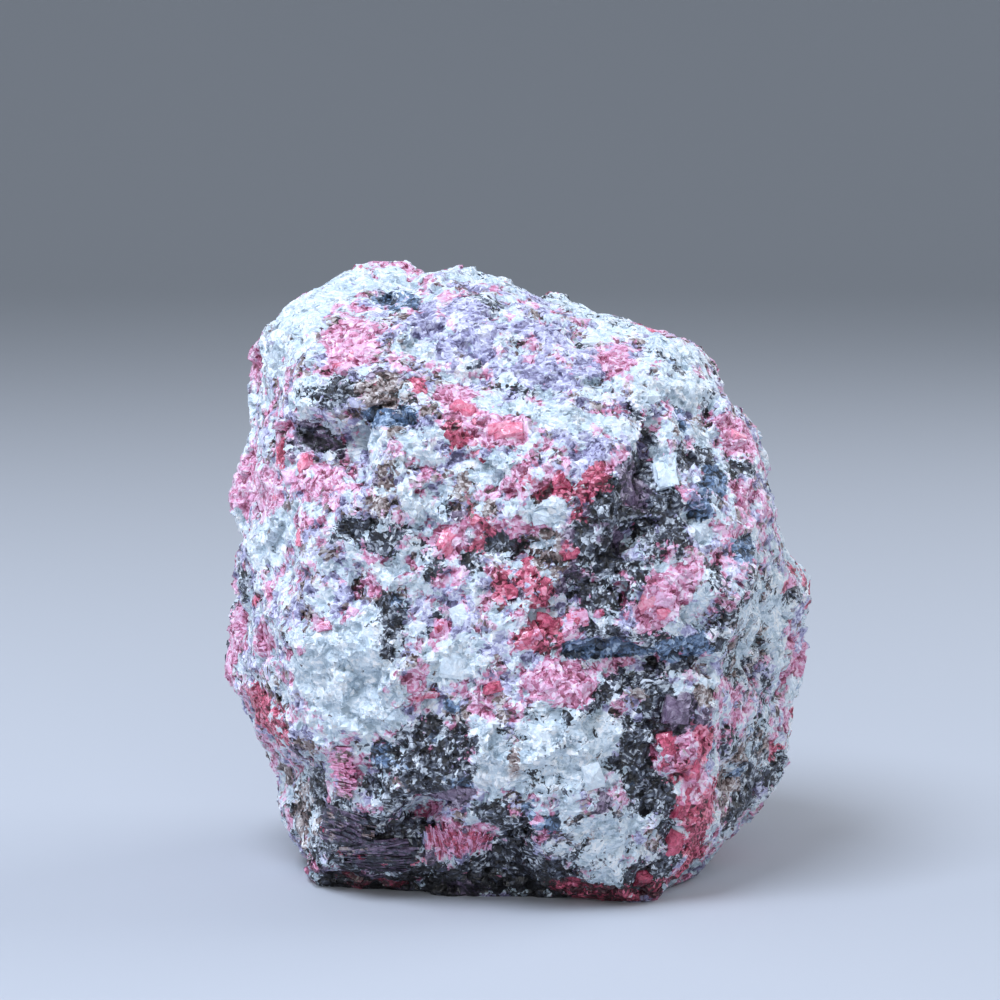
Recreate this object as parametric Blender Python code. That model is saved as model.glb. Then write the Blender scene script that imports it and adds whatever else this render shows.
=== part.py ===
"""Rough rhodonite: one hand-sized lump of broken rock, standing on a flat broken foot.

The lump is roughed out like a block under a hammer. A closed blank takes the outline that the rock
shows from the front. Fracture planes then split it down to its faces, and notches made of several
planes leave the ledge, the groove and the slots. Bosses, hollows and small spalls follow. The lump is
then given an even skin, the grain of the break is raised on it, and a level cut makes the foot.

Frame: metres, +Z up, the front is -Y, and the origin is the middle of the foot's level.
"""

import math

import bmesh
import bpy
import numpy as np
from mathutils import Matrix, Vector, noise

MM = 0.001

# Driving dimensions, in millimetres.
HEART = np.array([0.0, 0.0, 30.0])  # the whole surface of the rough block is seen from here
FRONT_REACH = 27.0  # heart to the foremost part of the blank
BACK_REACH = 27.0  # heart to the hindmost part of the blank
BLANK_ROUNDNESS = 3.2  # 2 is an ellipse in plan, and more is squarer
ALLOWANCE = 0.3  # left on the outline for the spalls and the break to take off
WANDER, WANDER_LENGTH = 0.6, 10.0  # how far a fracture face strays from flat, and over what length
SPALL_COUNT, SPALL_DEPTH = 60, (0.3, 1.2)  # small chips off the ridges
WAVE_HEIGHT, WAVE_LENGTH = 0.7, 14.0  # slow swell of the break
FLATS = ((8.0, 0.12), (3.6, 0.11))  # width and slope of the flats of the break
SKIN_STEP = 0.42  # spacing of the points of the even skin
TRIANGLES = 9300
FOOT_SIZE, FOOT_DEPTH = 100.0, 10.0  # the block that cuts the level foot
BLOCK_SUBDIVISIONS = 7
ROCK_COLOUR = (0.55, 0.33, 0.36, 1.0)

# Outline from the front: x from the middle, z above the foot.
OUTLINE = (
    (-12.3, 61.8), (-9.7, 61.2), (-6.2, 61.4), (-2.6, 60.2), (0.9, 58.4), (2.0, 57.5), (5.7, 57.2),
    (10.6, 55.2), (15.6, 53.9), (18.9, 52.3), (20.2, 49.7), (21.2, 47.5), (23.0, 45.8), (24.6, 42.3),
    (25.1, 38.4), (25.6, 35.3), (26.6, 31.4), (29.2, 29.1), (30.7, 26.5), (31.0, 21.9), (29.6, 20.3),
    (29.1, 18.2), (28.0, 16.6), (28.1, 11.9), (26.1, 7.7), (23.8, 4.5), (20.4, 2.1), (18.3, -1.0),
    (0.0, -4.0), (-19.8, -1.6), (-21.4, 0.8), (-24.0, 4.0), (-23.8, 7.7), (-24.6, 10.9), (-26.6, 14.3),
    (-28.6, 17.7), (-30.1, 19.3), (-30.2, 21.9), (-28.1, 27.3), (-29.2, 29.3), (-28.5, 31.0),
    (-29.6, 35.1), (-28.3, 39.4), (-28.1, 41.5), (-27.1, 42.7), (-27.4, 46.1), (-27.8, 51.5),
    (-27.7, 53.3), (-23.9, 56.2), (-20.3, 58.0), (-16.3, 60.7), (-13.7, 61.7),
)

# Fracture faces: a point on the face, then the way it faces (azimuth, elevation). Azimuth 0 is the
# front and 90 the right-hand side.
FACES = {
    "front": ((0, -20.8, 30), 0, 7),
    "front_left": ((-14, -20.6, 24), -21, 2),
    "front_right": ((13, -19.0, 14), 15, -4),
    "left_cheek": ((-25, -11.0, 27), -60, 5),
    "left_side": ((-29.6, 2, 34), -94, 3),
    "left_shoulder": ((-21.5, -13.4, 50), -33, 10),
    "crown": ((-2, -17.5, 48.5), -5, 47),
    "crown_top": ((-6, -3.0, 60.8), -10, 70),
    "top_left": ((-21, -3.0, 57.7), -44, 56),
    "top_right": ((12, -5.0, 55.7), 26, 62),
    "right_brow": ((20, -13.5, 42), 36, 20),
    "right_side": ((26.2, -9.5, 27), 57, 5),
    "right_low": ((18.5, -15.6, 14), 60, -9),
    "right_heel": ((24.7, -3.0, 7.5), 70, -38),
    "front_toe": ((4, -21.2, 8), 3, -16),
    "front_skirt": ((2, -18.4, 0), 5, -44),
    "left_skirt": ((-13, -11.6, 0), -10, -42),
    "left_toe": ((-18.5, -16.5, 8), -30, -20),
    "back": ((6, 20.5, 28), 172, 3),
    "back_left": ((-17, 15.5, 30), -142, 9),
    "back_right": ((25.5, 11.5, 28), 122, -5),
    "back_crown": ((5, 13.0, 55), 166, 43),
    "back_top_left": ((-16, 8.0, 58), -146, 38),
    "back_toe": ((2, 19.0, 8), 170, -35),
    "back_left_toe": ((-19, 12.0, 8), -128, -30),
    "back_right_toe": ((20, 11.0, 8), 130, -30),
}

# Notches: everything outside all of its planes is broken away, which leaves a corner that goes in.
NOTCHES = {
    "left_underside": (((-23.0, -5, 11), -62, -32), ((-23.0, -5, 11), -66, 3)),
    "groove": (((11, -15.6, 42), 66, -11), ((11, -15.6, 42), -21, 30)),
    "slot": (((11, -17.6, 25.2), -10, -66), ((11, -17.6, 25.2), 20, 50), ((4.5, -20, 25), 50, 0)),
    "under_ledge": (
        ((10, -18.6, 19.8), -24, -50),
        ((10, -18.6, 19.8), 30, 36),
        ((7, -20, 20), 40, -30),
    ),
    "shoulder_pit": (
        ((-19.5, -12.0, 45.5), 6, -48),
        ((-19.5, -12.0, 45.5), -24, 46),
        ((-14, -16.0, 46), -60, 10),
    ),
    "crown_step": (
        ((-12, -15.4, 48.6), 12, -52),
        ((-12, -15.4, 48.6), -14, 44),
        ((-7, -18.0, 48), -70, 10),
    ),
    "knob_pit": (
        ((17, -13.6, 43.6), 26, -56),
        ((17, -13.6, 43.6), 40, 48),
        ((15.0, -16, 44), 80, 0),
    ),
    "right_step": (((25, -8.8, 20.5), 50, -52), ((25, -8.8, 20.5), 64, 20)),
    "left_step": (((-26, -9.0, 30), -50, -40), ((-26, -9.0, 30), -62, 24)),
    "back_ledge": (((2, 18.4, 26), 176, -54), ((2, 18.4, 26), 170, 40), ((9, 18, 26), -96, 0)),
    "back_bite": (((17, 15.0, 43), 150, 58), ((17, 15.0, 43), 146, -8)),
    "back_step": (((-17, 13.5, 40), -150, -50), ((-17, 13.5, 40), -120, 30)),
}

# Bosses, and hollows with a negative height: centre, reach along x, y and z, and height.
BOSSES = {
    "left_boss": ((-16, -20, 23.5), (8, 9, 6), 1.9),
    "lower_boss": ((4.5, -22, 14), (8, 9, 7), 1.8),
    "ledge_boss": ((4.5, -21, 22.5), (6, 8, 3), 1.0),
    "brow_bulge": ((4, -20, 41), (6, 8, 5), 1.2),
    "pink_knee": ((15, -17, 31), (5, 7, 4), 1.3),
    "arris": ((18, -15.5, 10), (2.5, 6, 9), 1.2),
    "crown_dish": ((2, -12, 52), (9, 6, 4), -1.0),
    "low_cavity": ((-11, -17, 7.4), (3, 6, 2.6), -4.5),
    "low_shelf": ((-6, -19, 11.2), (5, 6, 1.8), -2.2),
    "seam": ((-8.5, -20, 18), (3, 7, 7), -1.6),
    "low_pocket": ((-1.5, -19, 6), (3.5, 6, 2.4), -1.6),
    "left_notch": ((-28.5, -2, 29), (4, 5, 1.8), -0.6),
    "back_hollow": ((-6, 20, 34), (8, 8, 8), -1.8),
    "back_knuckle": ((11, 18, 33), (7, 8, 6), 1.6),
}


def facing(azimuth, elevation):
    """Unit vector that looks that way, in degrees."""
    turn, rise = math.radians(azimuth), math.radians(elevation)
    return np.array(
        [math.sin(turn) * math.cos(rise), -math.cos(turn) * math.cos(rise), math.sin(rise)]
    )


def outline_radius(angles):
    """Distance from the heart to the outline, for each angle from +X towards +Z."""
    points = np.array(OUTLINE) - HEART[[0, 2]]
    bearing = np.arctan2(points[:, 1], points[:, 0])
    order = np.argsort(bearing)
    reach = np.interp(angles, bearing[order], np.hypot(*points[order].T), period=2 * math.pi)
    return reach + ALLOWANCE


def blank(rays):
    """Reach of the blank along each ray: the outline, closed in front and behind."""
    across = np.hypot(rays[:, 0], rays[:, 2])
    along = np.where(rays[:, 1] < 0, -rays[:, 1] / FRONT_REACH, rays[:, 1] / BACK_REACH)
    rim = outline_radius(np.arctan2(rays[:, 2], rays[:, 0]))
    power = BLANK_ROUNDNESS
    return ((across / rim) ** power + along**power) ** (-1 / power)


def wandering(rays, reach, seed):
    """A slow, small offset that keeps a fracture face from being as flat as a saw cut."""
    places = (HEART + rays * reach[:, None]) / WANDER_LENGTH + (7.3 * seed, 1.9 * seed, 4.1 * seed)
    return WANDER * np.array([noise.noise(Vector(place)) for place in places])


def split(reach, rays, planes, seed):
    """Breaks away what lies outside all the planes, each (point, azimuth, elevation)."""
    enters = np.zeros(len(rays))
    leaves = np.full(len(rays), np.inf)
    for point, azimuth, elevation in planes:
        normal = facing(azimuth, elevation)
        depth = normal @ (np.array(point) - HEART)
        slope = rays @ normal
        crossing = depth / np.where(np.abs(slope) < 1e-6, 1e-6, slope)
        enters = np.where(slope > 0, np.maximum(enters, crossing), enters)
        leaves = np.where(slope <= 0, np.minimum(leaves, crossing), leaves)
    near = (enters < reach + WANDER) & (reach <= leaves)
    enters[near] += wandering(rays[near], enters[near], seed)
    return np.where(near, np.minimum(reach, enters), reach)


def swelled(reach, rays):
    """Adds the bosses and takes out the hollows."""
    for centre, spread, height in BOSSES.values():
        away = (HEART + rays * reach[:, None] - centre) / spread
        reach = reach + height * np.exp(-(away**2).sum(axis=1))
    return reach


def spalled(reach, rays):
    """Knocks small flat chips off whatever stands out most in seeded directions."""
    dice = np.random.default_rng(12)
    for _ in range(SPALL_COUNT):
        normal = dice.normal(size=3)
        normal /= np.linalg.norm(normal)
        height = (rays @ normal) * reach
        depth = height.max() - dice.uniform(*SPALL_DEPTH)
        cut = height > depth
        reach[cut] = depth / (rays[cut] @ normal)
    return reach


def block_reach(rays):
    """Distance from the heart to the rough block's surface along each ray."""
    reach = blank(rays)
    for seed, planes in enumerate([(face,) for face in FACES.values()] + list(NOTCHES.values())):
        reach = split(reach, rays, planes, seed)
    return spalled(swelled(reach, rays), rays)


def rough_block():
    """The lump before its grain, from a ball whose points are moved out or in along their rays."""
    ball = bmesh.new()
    bmesh.ops.create_icosphere(ball, subdivisions=BLOCK_SUBDIVISIONS, radius=1.0)
    rays = np.array([vert.co.normalized() for vert in ball.verts])
    points = HEART + rays * block_reach(rays)[:, None]
    for vert, point in zip(ball.verts, points):
        vert.co = Vector(point) * MM
    mesh = bpy.data.meshes.new("rough block")
    ball.to_mesh(mesh)
    ball.free()
    return mesh


def even_skin(rock):
    """Spaces the points alike on steep and on open faces, and leaves no face crossing another."""
    remesh = rock.modifiers.new("even skin", "REMESH")
    remesh.mode = "VOXEL"
    remesh.voxel_size = SKIN_STEP * MM
    evaluated = rock.evaluated_get(bpy.context.evaluated_depsgraph_get())
    rock.data = bpy.data.meshes.new_from_object(evaluated)
    rock.modifiers.clear()


def grain_height(place):
    """Height of the break at a place in millimetres: flats in low steps, on a slow swell."""
    height = WAVE_HEIGHT * noise.fractal(place / WAVE_LENGTH, 0.9, 2.1, 3)
    for width, slope in FLATS:
        cell = noise.voronoi(place / width)[1][0]
        tilt = noise.cell_vector(cell * 7.0) * 2 - Vector((1, 1, 1))
        height += slope * tilt.dot(place - cell * width)
    return height


def raise_grain(rock):
    """Moves the skin's points along their normals."""
    skin = bmesh.new()
    skin.from_mesh(rock.data)
    skin.normal_update()
    moves = [vert.normal * grain_height(vert.co / MM) * MM for vert in skin.verts]
    for vert, move in zip(skin.verts, moves):
        vert.co += move
    skin.to_mesh(rock.data)
    skin.free()


def centre(rock):
    """Puts the middle of the rock's width and depth over the origin."""
    corners = [Vector(corner) for corner in rock.bound_box]
    middle = sum(corners, Vector()) / len(corners)
    rock.data.transform(Matrix.Translation((-middle.x, -middle.y, 0)))


def level_foot(rock):
    """Cuts off what lies below the foot's level."""
    half = Vector((FOOT_SIZE, FOOT_SIZE, FOOT_DEPTH)) * MM
    block = bmesh.new()
    bmesh.ops.create_cube(block, size=1.0)
    bmesh.ops.scale(block, vec=half, verts=block.verts)
    bmesh.ops.translate(block, vec=(0, 0, -half.z / 2), verts=block.verts)
    mesh = bpy.data.meshes.new("below the foot")
    block.to_mesh(mesh)
    block.free()
    cutter = bpy.data.objects.new("below_the_foot", mesh)
    bpy.context.scene.collection.objects.link(cutter)
    cutter.hide_render = True
    cutter.display_type = "WIRE"
    cut = rock.modifiers.new("level foot", "BOOLEAN")
    cut.operation = "DIFFERENCE"
    cut.object = cutter


def rock_material():
    """Pink manganese silicate with pale and black minerals through it, dull where broken."""
    material = bpy.data.materials.new("broken rhodonite")
    material.use_nodes = True
    shader = material.node_tree.nodes["Principled BSDF"]
    shader.inputs["Base Color"].default_value = ROCK_COLOUR
    shader.inputs["Roughness"].default_value = 0.55
    shader.inputs["Metallic"].default_value = 0.0
    return material


def make_rock():
    rock = bpy.data.objects.new("rhodonite", rough_block())
    bpy.context.scene.collection.objects.link(rock)
    even_skin(rock)
    raise_grain(rock)
    even_skin(rock)
    centre(rock)
    rock.data.name = "rhodonite"
    rock.data.materials.append(rock_material())
    thin = rock.modifiers.new("fewer faces", "DECIMATE")
    thin.ratio = TRIANGLES / sum(len(face.vertices) - 2 for face in rock.data.polygons)
    level_foot(rock)


def main():
    for old in list(bpy.data.objects):
        bpy.data.objects.remove(old)
    make_rock()


main()
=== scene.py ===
"""Dresses a hand-sized piece of rough rhodonite.

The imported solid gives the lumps, ledges and hollows. Here it gets its broken skin, the cleaved grains
that cover it, the larger crystals that stand out, and a plain studio.
"""

import math
from functools import partial

import bmesh
import bpy
import numpy as np
from bpy.props import FloatProperty, FloatVectorProperty, IntProperty, PointerProperty
from mathutils import Matrix, Vector
from mathutils.bvhtree import BVHTree
from mathutils.kdtree import KDTree


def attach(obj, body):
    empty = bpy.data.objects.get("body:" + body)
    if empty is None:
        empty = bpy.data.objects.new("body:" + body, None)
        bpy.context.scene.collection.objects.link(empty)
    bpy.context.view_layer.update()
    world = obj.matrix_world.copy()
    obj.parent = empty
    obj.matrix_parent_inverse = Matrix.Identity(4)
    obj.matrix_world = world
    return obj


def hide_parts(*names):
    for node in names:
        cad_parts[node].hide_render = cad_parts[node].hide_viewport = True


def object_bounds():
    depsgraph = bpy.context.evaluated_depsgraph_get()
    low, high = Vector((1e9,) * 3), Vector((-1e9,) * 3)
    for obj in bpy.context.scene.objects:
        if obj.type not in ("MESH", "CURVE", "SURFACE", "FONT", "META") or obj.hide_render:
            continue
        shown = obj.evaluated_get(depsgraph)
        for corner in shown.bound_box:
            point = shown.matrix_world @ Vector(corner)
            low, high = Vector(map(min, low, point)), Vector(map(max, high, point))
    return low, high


bl_info = {
    "name": "Rough Rhodonite",
    "version": (1, 0, 0),
    "blender": (4, 5, 0),
    "location": "View3D > Sidebar > Rhodonite",
    "description": "Grows the broken skin, grains and crystals of a piece of rough rhodonite",
    "category": "Add Mesh",
}

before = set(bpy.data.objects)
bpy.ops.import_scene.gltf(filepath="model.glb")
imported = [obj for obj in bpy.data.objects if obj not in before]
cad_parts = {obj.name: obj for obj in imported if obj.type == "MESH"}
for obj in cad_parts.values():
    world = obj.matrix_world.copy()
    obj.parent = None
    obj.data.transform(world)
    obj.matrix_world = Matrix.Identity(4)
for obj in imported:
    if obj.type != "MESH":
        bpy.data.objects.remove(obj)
CAD_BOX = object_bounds()
NODE = "rhodonite"
BODY = "root"

MM = 0.001
SEED = 41
# Where the front's mineral patches were surveyed from, and the plane of their x and z, in mm.
SURVEY_EYE = Vector((-1.6, -290.0, 73.0))
SURVEY_PLANE_Y = -18.0

# ---- minerals -----------------------------------------------------------------------------------

MINERALS = ("white", "rose", "red", "black", "mauve", "slate", "umber", "plum")

# How strongly each mineral shows where no patch says otherwise.
MATRIX_SHARE = {
    "white": 0.52,
    "rose": 0.47,
    "red": 0.20,
    "black": 0.02,
    "mauve": 0.46,
    "slate": 0.05,
    "umber": 0.31,
    "plum": 0.14,
}

# Patches of the front, from the top down: x, z, half width, half height in mm, turn in degrees, strength.
PATCHES = {
    # The two thin rows along the crown's lower edge, at x -2.0, z 49.0 and x 4.0, z 47.8, are partly white
    # mineral and partly a painted highlight along that lit edge.
    "white": (
        (-12.0, 61.5, 5.4, 1.6, 0, 1.1), (-12.5, 60.8, 3.6, 1.2, 8, 1.0), (-19.0, 58.7, 7.2, 1.9, 30, 1.1),
        (8.9, 56.4, 5.6, 1.3, -26, 0.9), (7.2, 55.4, 2.4, 1.5, -30, 0.8), (-9.6, 55.0, 2.2, 1.9, 0, 1.05),
        (-22.2, 54.9, 4.5, 2.6, 30, 0.9), (14.4, 54.2, 3.4, 1.4, -28, 1.15), (12.4, 53.9, 3.2, 1.4, -25, 0.8),
        (-23.6, 53.0, 3.2, 2.4, 0, 1.0), (-25.6, 51.6, 1.6, 3.0, 0, 1.1), (16.0, 50.8, 3.8, 2.8, -35, 1.15),
        (7.0, 50.6, 2.2, 1.0, -10, 1.1), (12.9, 49.8, 3.0, 1.3, -8, 1.0), (17.2, 49.4, 2.2, 2.2, -40, 0.9),
        (-24.2, 49.2, 1.9, 3.4, 0, 0.7), (-2.0, 49.0, 2.8, 0.9, -10, 1.5), (4.0, 47.8, 4.6, 0.8, 0, 1.4),
        (-15.2, 47.2, 1.2, 0.9, 0, 1.0), (17.4, 47.0, 1.8, 1.8, 0, 0.85), (14.9, 46.7, 1.5, 1.8, 0, 0.8),
        (-13.6, 45.6, 1.6, 1.2, 0, 0.9), (-9.6, 43.8, 3.4, 1.2, 8, 0.8), (14.3, 42.8, 1.4, 2.1, 0, 1.1),
        (-3.0, 42.6, 3.6, 2.3, 15, 0.85), (-9.4, 39.4, 2.2, 1.7, 0, 1.1), (-20.4, 38.8, 3.0, 1.6, 8, 1.0),
        (2.6, 38.8, 2.5, 1.7, 0, 1.2), (-26.6, 38.0, 1.4, 2.8, 0, 1.0), (-23.0, 37.2, 4.0, 2.6, 0, 1.05),
        (17.5, 36.8, 2.4, 2.2, 30, 0.7), (-24.3, 35.3, 3.6, 2.2, 0, 1.0), (20.6, 34.0, 2.2, 2.6, 0, 0.55),
        (-12.7, 32.1, 1.1, 1.6, 0, 0.8), (18.7, 31.9, 1.3, 2.0, 0, 0.8), (25.2, 31.8, 1.8, 2.0, 0, 0.9),
        (24.8, 28.6, 2.6, 4.2, 0, 1.2), (22.6, 28.2, 3.4, 5.0, 0, 1.15), (22.0, 27.6, 2.4, 2.6, 0, 1.25),
        (-6.2, 25.0, 2.6, 3.0, 0, 1.05), (25.4, 24.6, 2.2, 3.0, 0, 0.85), (-17.3, 23.6, 6.2, 6.0, 0, 1.15),
        (-13.2, 23.4, 2.4, 2.0, 0, 1.0), (26.9, 22.3, 0.9, 1.3, 0, 1.1), (-11.0, 21.6, 1.6, 1.6, 0, 0.9),
        (-4.0, 20.8, 1.8, 1.4, 0, 0.6), (2.2, 19.6, 1.6, 1.3, 0, 0.9), (-15.6, 19.4, 4.6, 2.4, 22, 1.1),
        (-12.2, 18.7, 1.5, 1.0, 0, 1.0), (4.6, 15.4, 6.0, 5.0, 0, 1.2), (-2.3, 14.4, 2.8, 4.0, 0, 1.0),
        (1.0, 12.6, 2.0, 1.6, 0, 1.1), (2.0, 12.0, 2.2, 1.8, 0, 0.9), (5.4, 8.6, 2.0, 1.8, 0, 0.95),
        (8.0, 7.2, 3.4, 3.4, 0, 1.05), (9.4, 3.2, 2.0, 2.2, 0, 1.1),
    ),
    "rose": (
        (-9.4, 61.2, 2.4, 1.0, 0, 0.85), (-6.3, 59.3, 1.6, 1.0, 0, 0.7), (-15.6, 54.6, 3.4, 2.8, 0, 1.25),
        (9.0, 53.2, 2.8, 1.7, -30, 1.0), (17.2, 52.5, 0.9, 0.7, 0, 0.8), (-24.8, 50.6, 1.8, 2.2, 0, 0.55),
        (-5.8, 49.8, 2.4, 1.4, -15, 1.2), (-23.2, 49.6, 2.8, 3.4, 0, 0.62), (-4.3, 47.4, 3.2, 1.5, -20, 1.3),
        (-1.2, 46.9, 2.0, 1.1, 0, 1.3), (20.4, 46.4, 3.0, 1.8, -35, 1.15), (21.3, 46.1, 1.5, 0.9, -30, 1.2),
        (-19.7, 43.9, 0.9, 1.1, 0, 1.0), (2.0, 43.0, 2.6, 1.6, 0, 0.95), (8.6, 43.0, 3.0, 1.4, 20, 0.85),
        (2.2, 42.6, 4.6, 2.0, 0, 0.75), (-25.4, 41.8, 3.6, 3.0, 0, 1.6), (-17.8, 41.8, 3.0, 1.6, 12, 0.7),
        (-19.4, 41.2, 5.4, 2.4, 8, 0.78), (-26.0, 41.0, 2.6, 3.0, 0, 1.3), (-23.8, 40.8, 2.6, 2.8, 0, 1.5),
        (-24.2, 40.0, 1.2, 2.7, 0, 1.2), (22.5, 39.7, 1.8, 3.8, 0, 0.75), (-1.0, 39.6, 6.0, 3.2, 0, 0.62),
        (-9.0, 38.6, 3.0, 2.0, 0, 0.7), (-20.6, 38.0, 3.4, 1.6, 15, 0.8), (-19.2, 38.0, 4.2, 1.9, 10, 0.65),
        (1.4, 37.5, 2.8, 1.4, 0, 0.9), (-27.2, 37.3, 0.6, 1.0, 0, 1.3), (-4.4, 36.6, 2.0, 2.6, 0, 0.8),
        (-6.9, 35.7, 1.6, 2.2, -25, 1.2), (-19.3, 34.2, 1.0, 0.9, 0, 0.9), (16.1, 33.5, 2.2, 1.5, 0, 0.9),
        (-6.4, 32.5, 2.0, 1.6, 0, 0.8), (-23.9, 31.6, 1.0, 1.2, 20, 1.2), (13.6, 30.2, 3.2, 2.8, 20, 1.25),
        (12.8, 29.6, 2.6, 2.0, 0, 1.3), (-16.0, 29.1, 0.8, 0.7, 0, 1.3), (6.0, 28.2, 1.5, 1.3, 0, 1.15),
        (-18.8, 27.7, 1.3, 0.7, 0, 1.3), (-27.4, 27.6, 2.2, 4.2, 0, 1.45), (-7.2, 27.6, 1.1, 1.4, 0, 1.1),
        (-24.2, 26.0, 2.2, 3.4, 0, 0.85), (-20.9, 25.5, 0.8, 0.7, 0, 1.4), (-8.7, 23.7, 0.8, 1.0, 0, 1.3),
        (10.4, 23.5, 3.0, 0.8, 0, 0.8), (-27.6, 23.4, 1.2, 2.2, 0, 1.5), (-3.4, 23.3, 1.6, 1.5, 0, 0.7),
        (4.6, 21.8, 3.6, 2.4, 0, 1.25), (21.3, 21.7, 2.0, 1.7, 0, 0.8), (20.4, 19.0, 2.2, 2.4, 0, 0.6),
        (21.0, 18.4, 2.0, 2.0, 0, 0.85), (16.6, 16.4, 2.2, 3.8, -10, 0.8), (-16.9, 13.5, 2.1, 3.1, 0, 0.75),
        (16.9, 12.2, 1.7, 3.8, -12, 1.05), (-5.8, 6.6, 3.9, 2.3, 0, 0.9), (-6.0, 2.8, 1.7, 2.0, 0, 0.7),
    ),
    "red": (
        (-13.5, 51.0, 1.3, 1.1, 0, 0.95), (-9.6, 51.0, 1.5, 0.7, -25, 1.05), (-6.2, 46.0, 1.1, 1.4, 0, 1.4),
        (-2.8, 45.4, 2.3, 1.0, 10, 0.85), (-22.6, 44.6, 1.2, 1.3, 0, 1.2), (7.4, 43.0, 1.3, 0.9, 30, 1.1),
        (1.2, 42.2, 1.5, 1.2, 0, 0.9), (7.2, 41.4, 1.9, 2.2, 30, 0.95), (4.1, 41.3, 1.2, 1.4, 0, 1.25),
        (3.4, 40.6, 2.4, 1.6, 20, 0.9), (6.6, 39.0, 1.7, 0.9, 35, 1.0), (7.2, 38.4, 1.6, 2.0, 20, 0.9),
        (-3.6, 37.6, 1.5, 3.0, 12, 0.95), (5.4, 35.4, 1.4, 2.0, -20, 1.0), (-4.2, 35.2, 0.9, 0.9, 0, 1.1),
        (26.1, 31.9, 0.9, 0.9, 0, 1.1), (1.0, 31.8, 3.2, 3.4, 0, 0.72), (-25.0, 29.8, 0.9, 0.8, 0, 0.9),
        (8.6, 27.4, 1.4, 0.8, 0, 0.8), (2.0, 26.5, 2.6, 1.9, 10, 1.2), (-2.0, 21.7, 1.3, 0.7, 10, 0.7),
        (-8.0, 20.8, 1.4, 0.6, 10, 0.85), (-24.6, 19.2, 1.9, 3.6, 40, 1.35), (13.8, 19.1, 0.8, 1.5, -20, 1.1),
        (-23.0, 18.0, 1.9, 3.0, 40, 1.0), (14.6, 17.2, 1.7, 2.2, 0, 0.9), (18.4, 16.6, 1.3, 2.4, -10, 0.95),
        (25.2, 15.6, 0.9, 1.6, 0, 1.1), (16.4, 12.6, 1.7, 3.2, -12, 0.95), (17.6, 8.8, 2.1, 5.0, -18, 1.3),
        (17.0, 5.2, 1.8, 2.8, -20, 1.2), (-14.1, 2.4, 4.6, 0.6, -3, 1.35), (5.7, 2.2, 3.5, 2.0, -8, 1.1),
        (13.0, 2.2, 1.9, 1.3, 0, 1.25), (7.4, 1.8, 5.6, 1.5, -5, 1.5), (-14.4, 1.5, 5.4, 1.0, -3, 1.7),
    ),
    # The rows in the pit near x -19, z 46, the turned rows down the groove from about x 12, z 42 to x 8, z
    # 33, and the rows below about z 6 are partly dark mineral and partly painted shade.
    "black": (
        (-2.9, 58.6, 2.3, 0.8, -10, 0.85), (8.2, 57.2, 3.0, 0.6, -22, 0.8), (6.0, 54.5, 1.0, 0.5, -20, 1.2),
        (12.8, 53.6, 3.4, 0.7, -32, 0.95), (-4.2, 53.0, 0.9, 0.5, 0, 1.2), (15.4, 52.0, 1.4, 1.1, 0, 0.9),
        (-17.6, 50.4, 2.8, 1.8, 0, 0.85), (-12.0, 50.4, 2.4, 1.1, 0, 0.65), (0.2, 50.4, 1.8, 0.7, -10, 0.8),
        (-19.6, 50.2, 2.2, 1.2, 0, 1.15), (18.4, 49.6, 0.8, 2.2, -30, 0.8), (11.9, 48.5, 1.5, 0.6, -30, 1.15),
        (12.7, 46.0, 0.7, 1.1, 0, 0.7), (-18.8, 45.6, 3.0, 1.5, -14, 1.25), (17.6, 44.2, 1.5, 1.4, 20, 1.35),
        (16.4, 44.0, 2.0, 1.4, 0, 0.95), (20.6, 42.8, 1.8, 1.5, 0, 0.9), (11.8, 42.4, 1.7, 2.2, 20, 1.1),
        (11.0, 41.8, 1.3, 3.0, 22, 0.85), (-6.6, 39.4, 1.4, 1.0, 0, 0.75), (12.7, 39.4, 1.6, 1.0, 0, 1.4),
        (13.8, 39.4, 2.2, 1.9, 0, 0.95), (9.6, 39.0, 2.6, 3.0, 25, 1.15), (14.4, 36.8, 2.2, 2.0, 0, 0.9),
        (-14.0, 36.4, 3.7, 2.0, 0, 0.95), (12.7, 36.3, 2.6, 2.7, 0, 0.95), (-1.5, 35.8, 1.8, 1.5, 0, 0.9),
        (7.6, 35.6, 2.4, 3.2, 25, 1.2), (-8.5, 35.4, 2.0, 1.0, 0, 0.9), (8.4, 34.5, 1.5, 3.2, 28, 1.2),
        (-4.4, 34.0, 1.2, 2.0, 0, 0.8), (-8.2, 33.6, 1.3, 1.5, 0, 0.95), (-7.9, 33.4, 1.5, 1.2, 0, 0.9),
        (9.4, 33.0, 2.6, 3.6, 25, 0.7), (19.4, 32.6, 1.4, 2.0, 0, 0.85), (-26.5, 31.9, 0.8, 1.9, 0, 1.2),
        (6.6, 31.2, 2.0, 2.2, 0, 0.95), (26.3, 30.4, 1.3, 0.9, 0, 1.15), (8.6, 29.8, 2.2, 1.1, 0, 0.95),
        (-8.0, 28.4, 1.2, 1.6, 0, 0.6), (-12.4, 27.6, 2.0, 2.7, 8, 0.95), (8.4, 27.5, 2.8, 0.8, 0, 1.0),
        (19.6, 27.4, 1.3, 3.0, 10, 0.7), (12.4, 26.8, 2.4, 0.9, 0, 0.9), (16.6, 24.0, 1.6, 1.0, 0, 0.9),
        (13.8, 23.4, 1.8, 1.3, 0, 0.95), (24.2, 23.0, 1.2, 2.4, 0, 0.85), (13.0, 21.6, 2.4, 1.2, -10, 1.1),
        (9.2, 21.3, 3.0, 1.3, 26, 1.45), (23.4, 20.6, 1.8, 1.4, 0, 0.8), (5.8, 19.0, 2.2, 0.9, 5, 0.95),
        (13.4, 18.8, 1.8, 2.6, -15, 1.45), (-4.6, 17.0, 1.0, 2.4, 10, 1.0), (-10.4, 16.0, 2.2, 2.4, 0, 0.9),
        (20.4, 16.0, 1.6, 2.6, 0, 0.75), (-13.2, 15.4, 1.9, 1.7, 0, 0.7), (10.9, 14.8, 1.5, 3.8, 0, 0.95),
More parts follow.
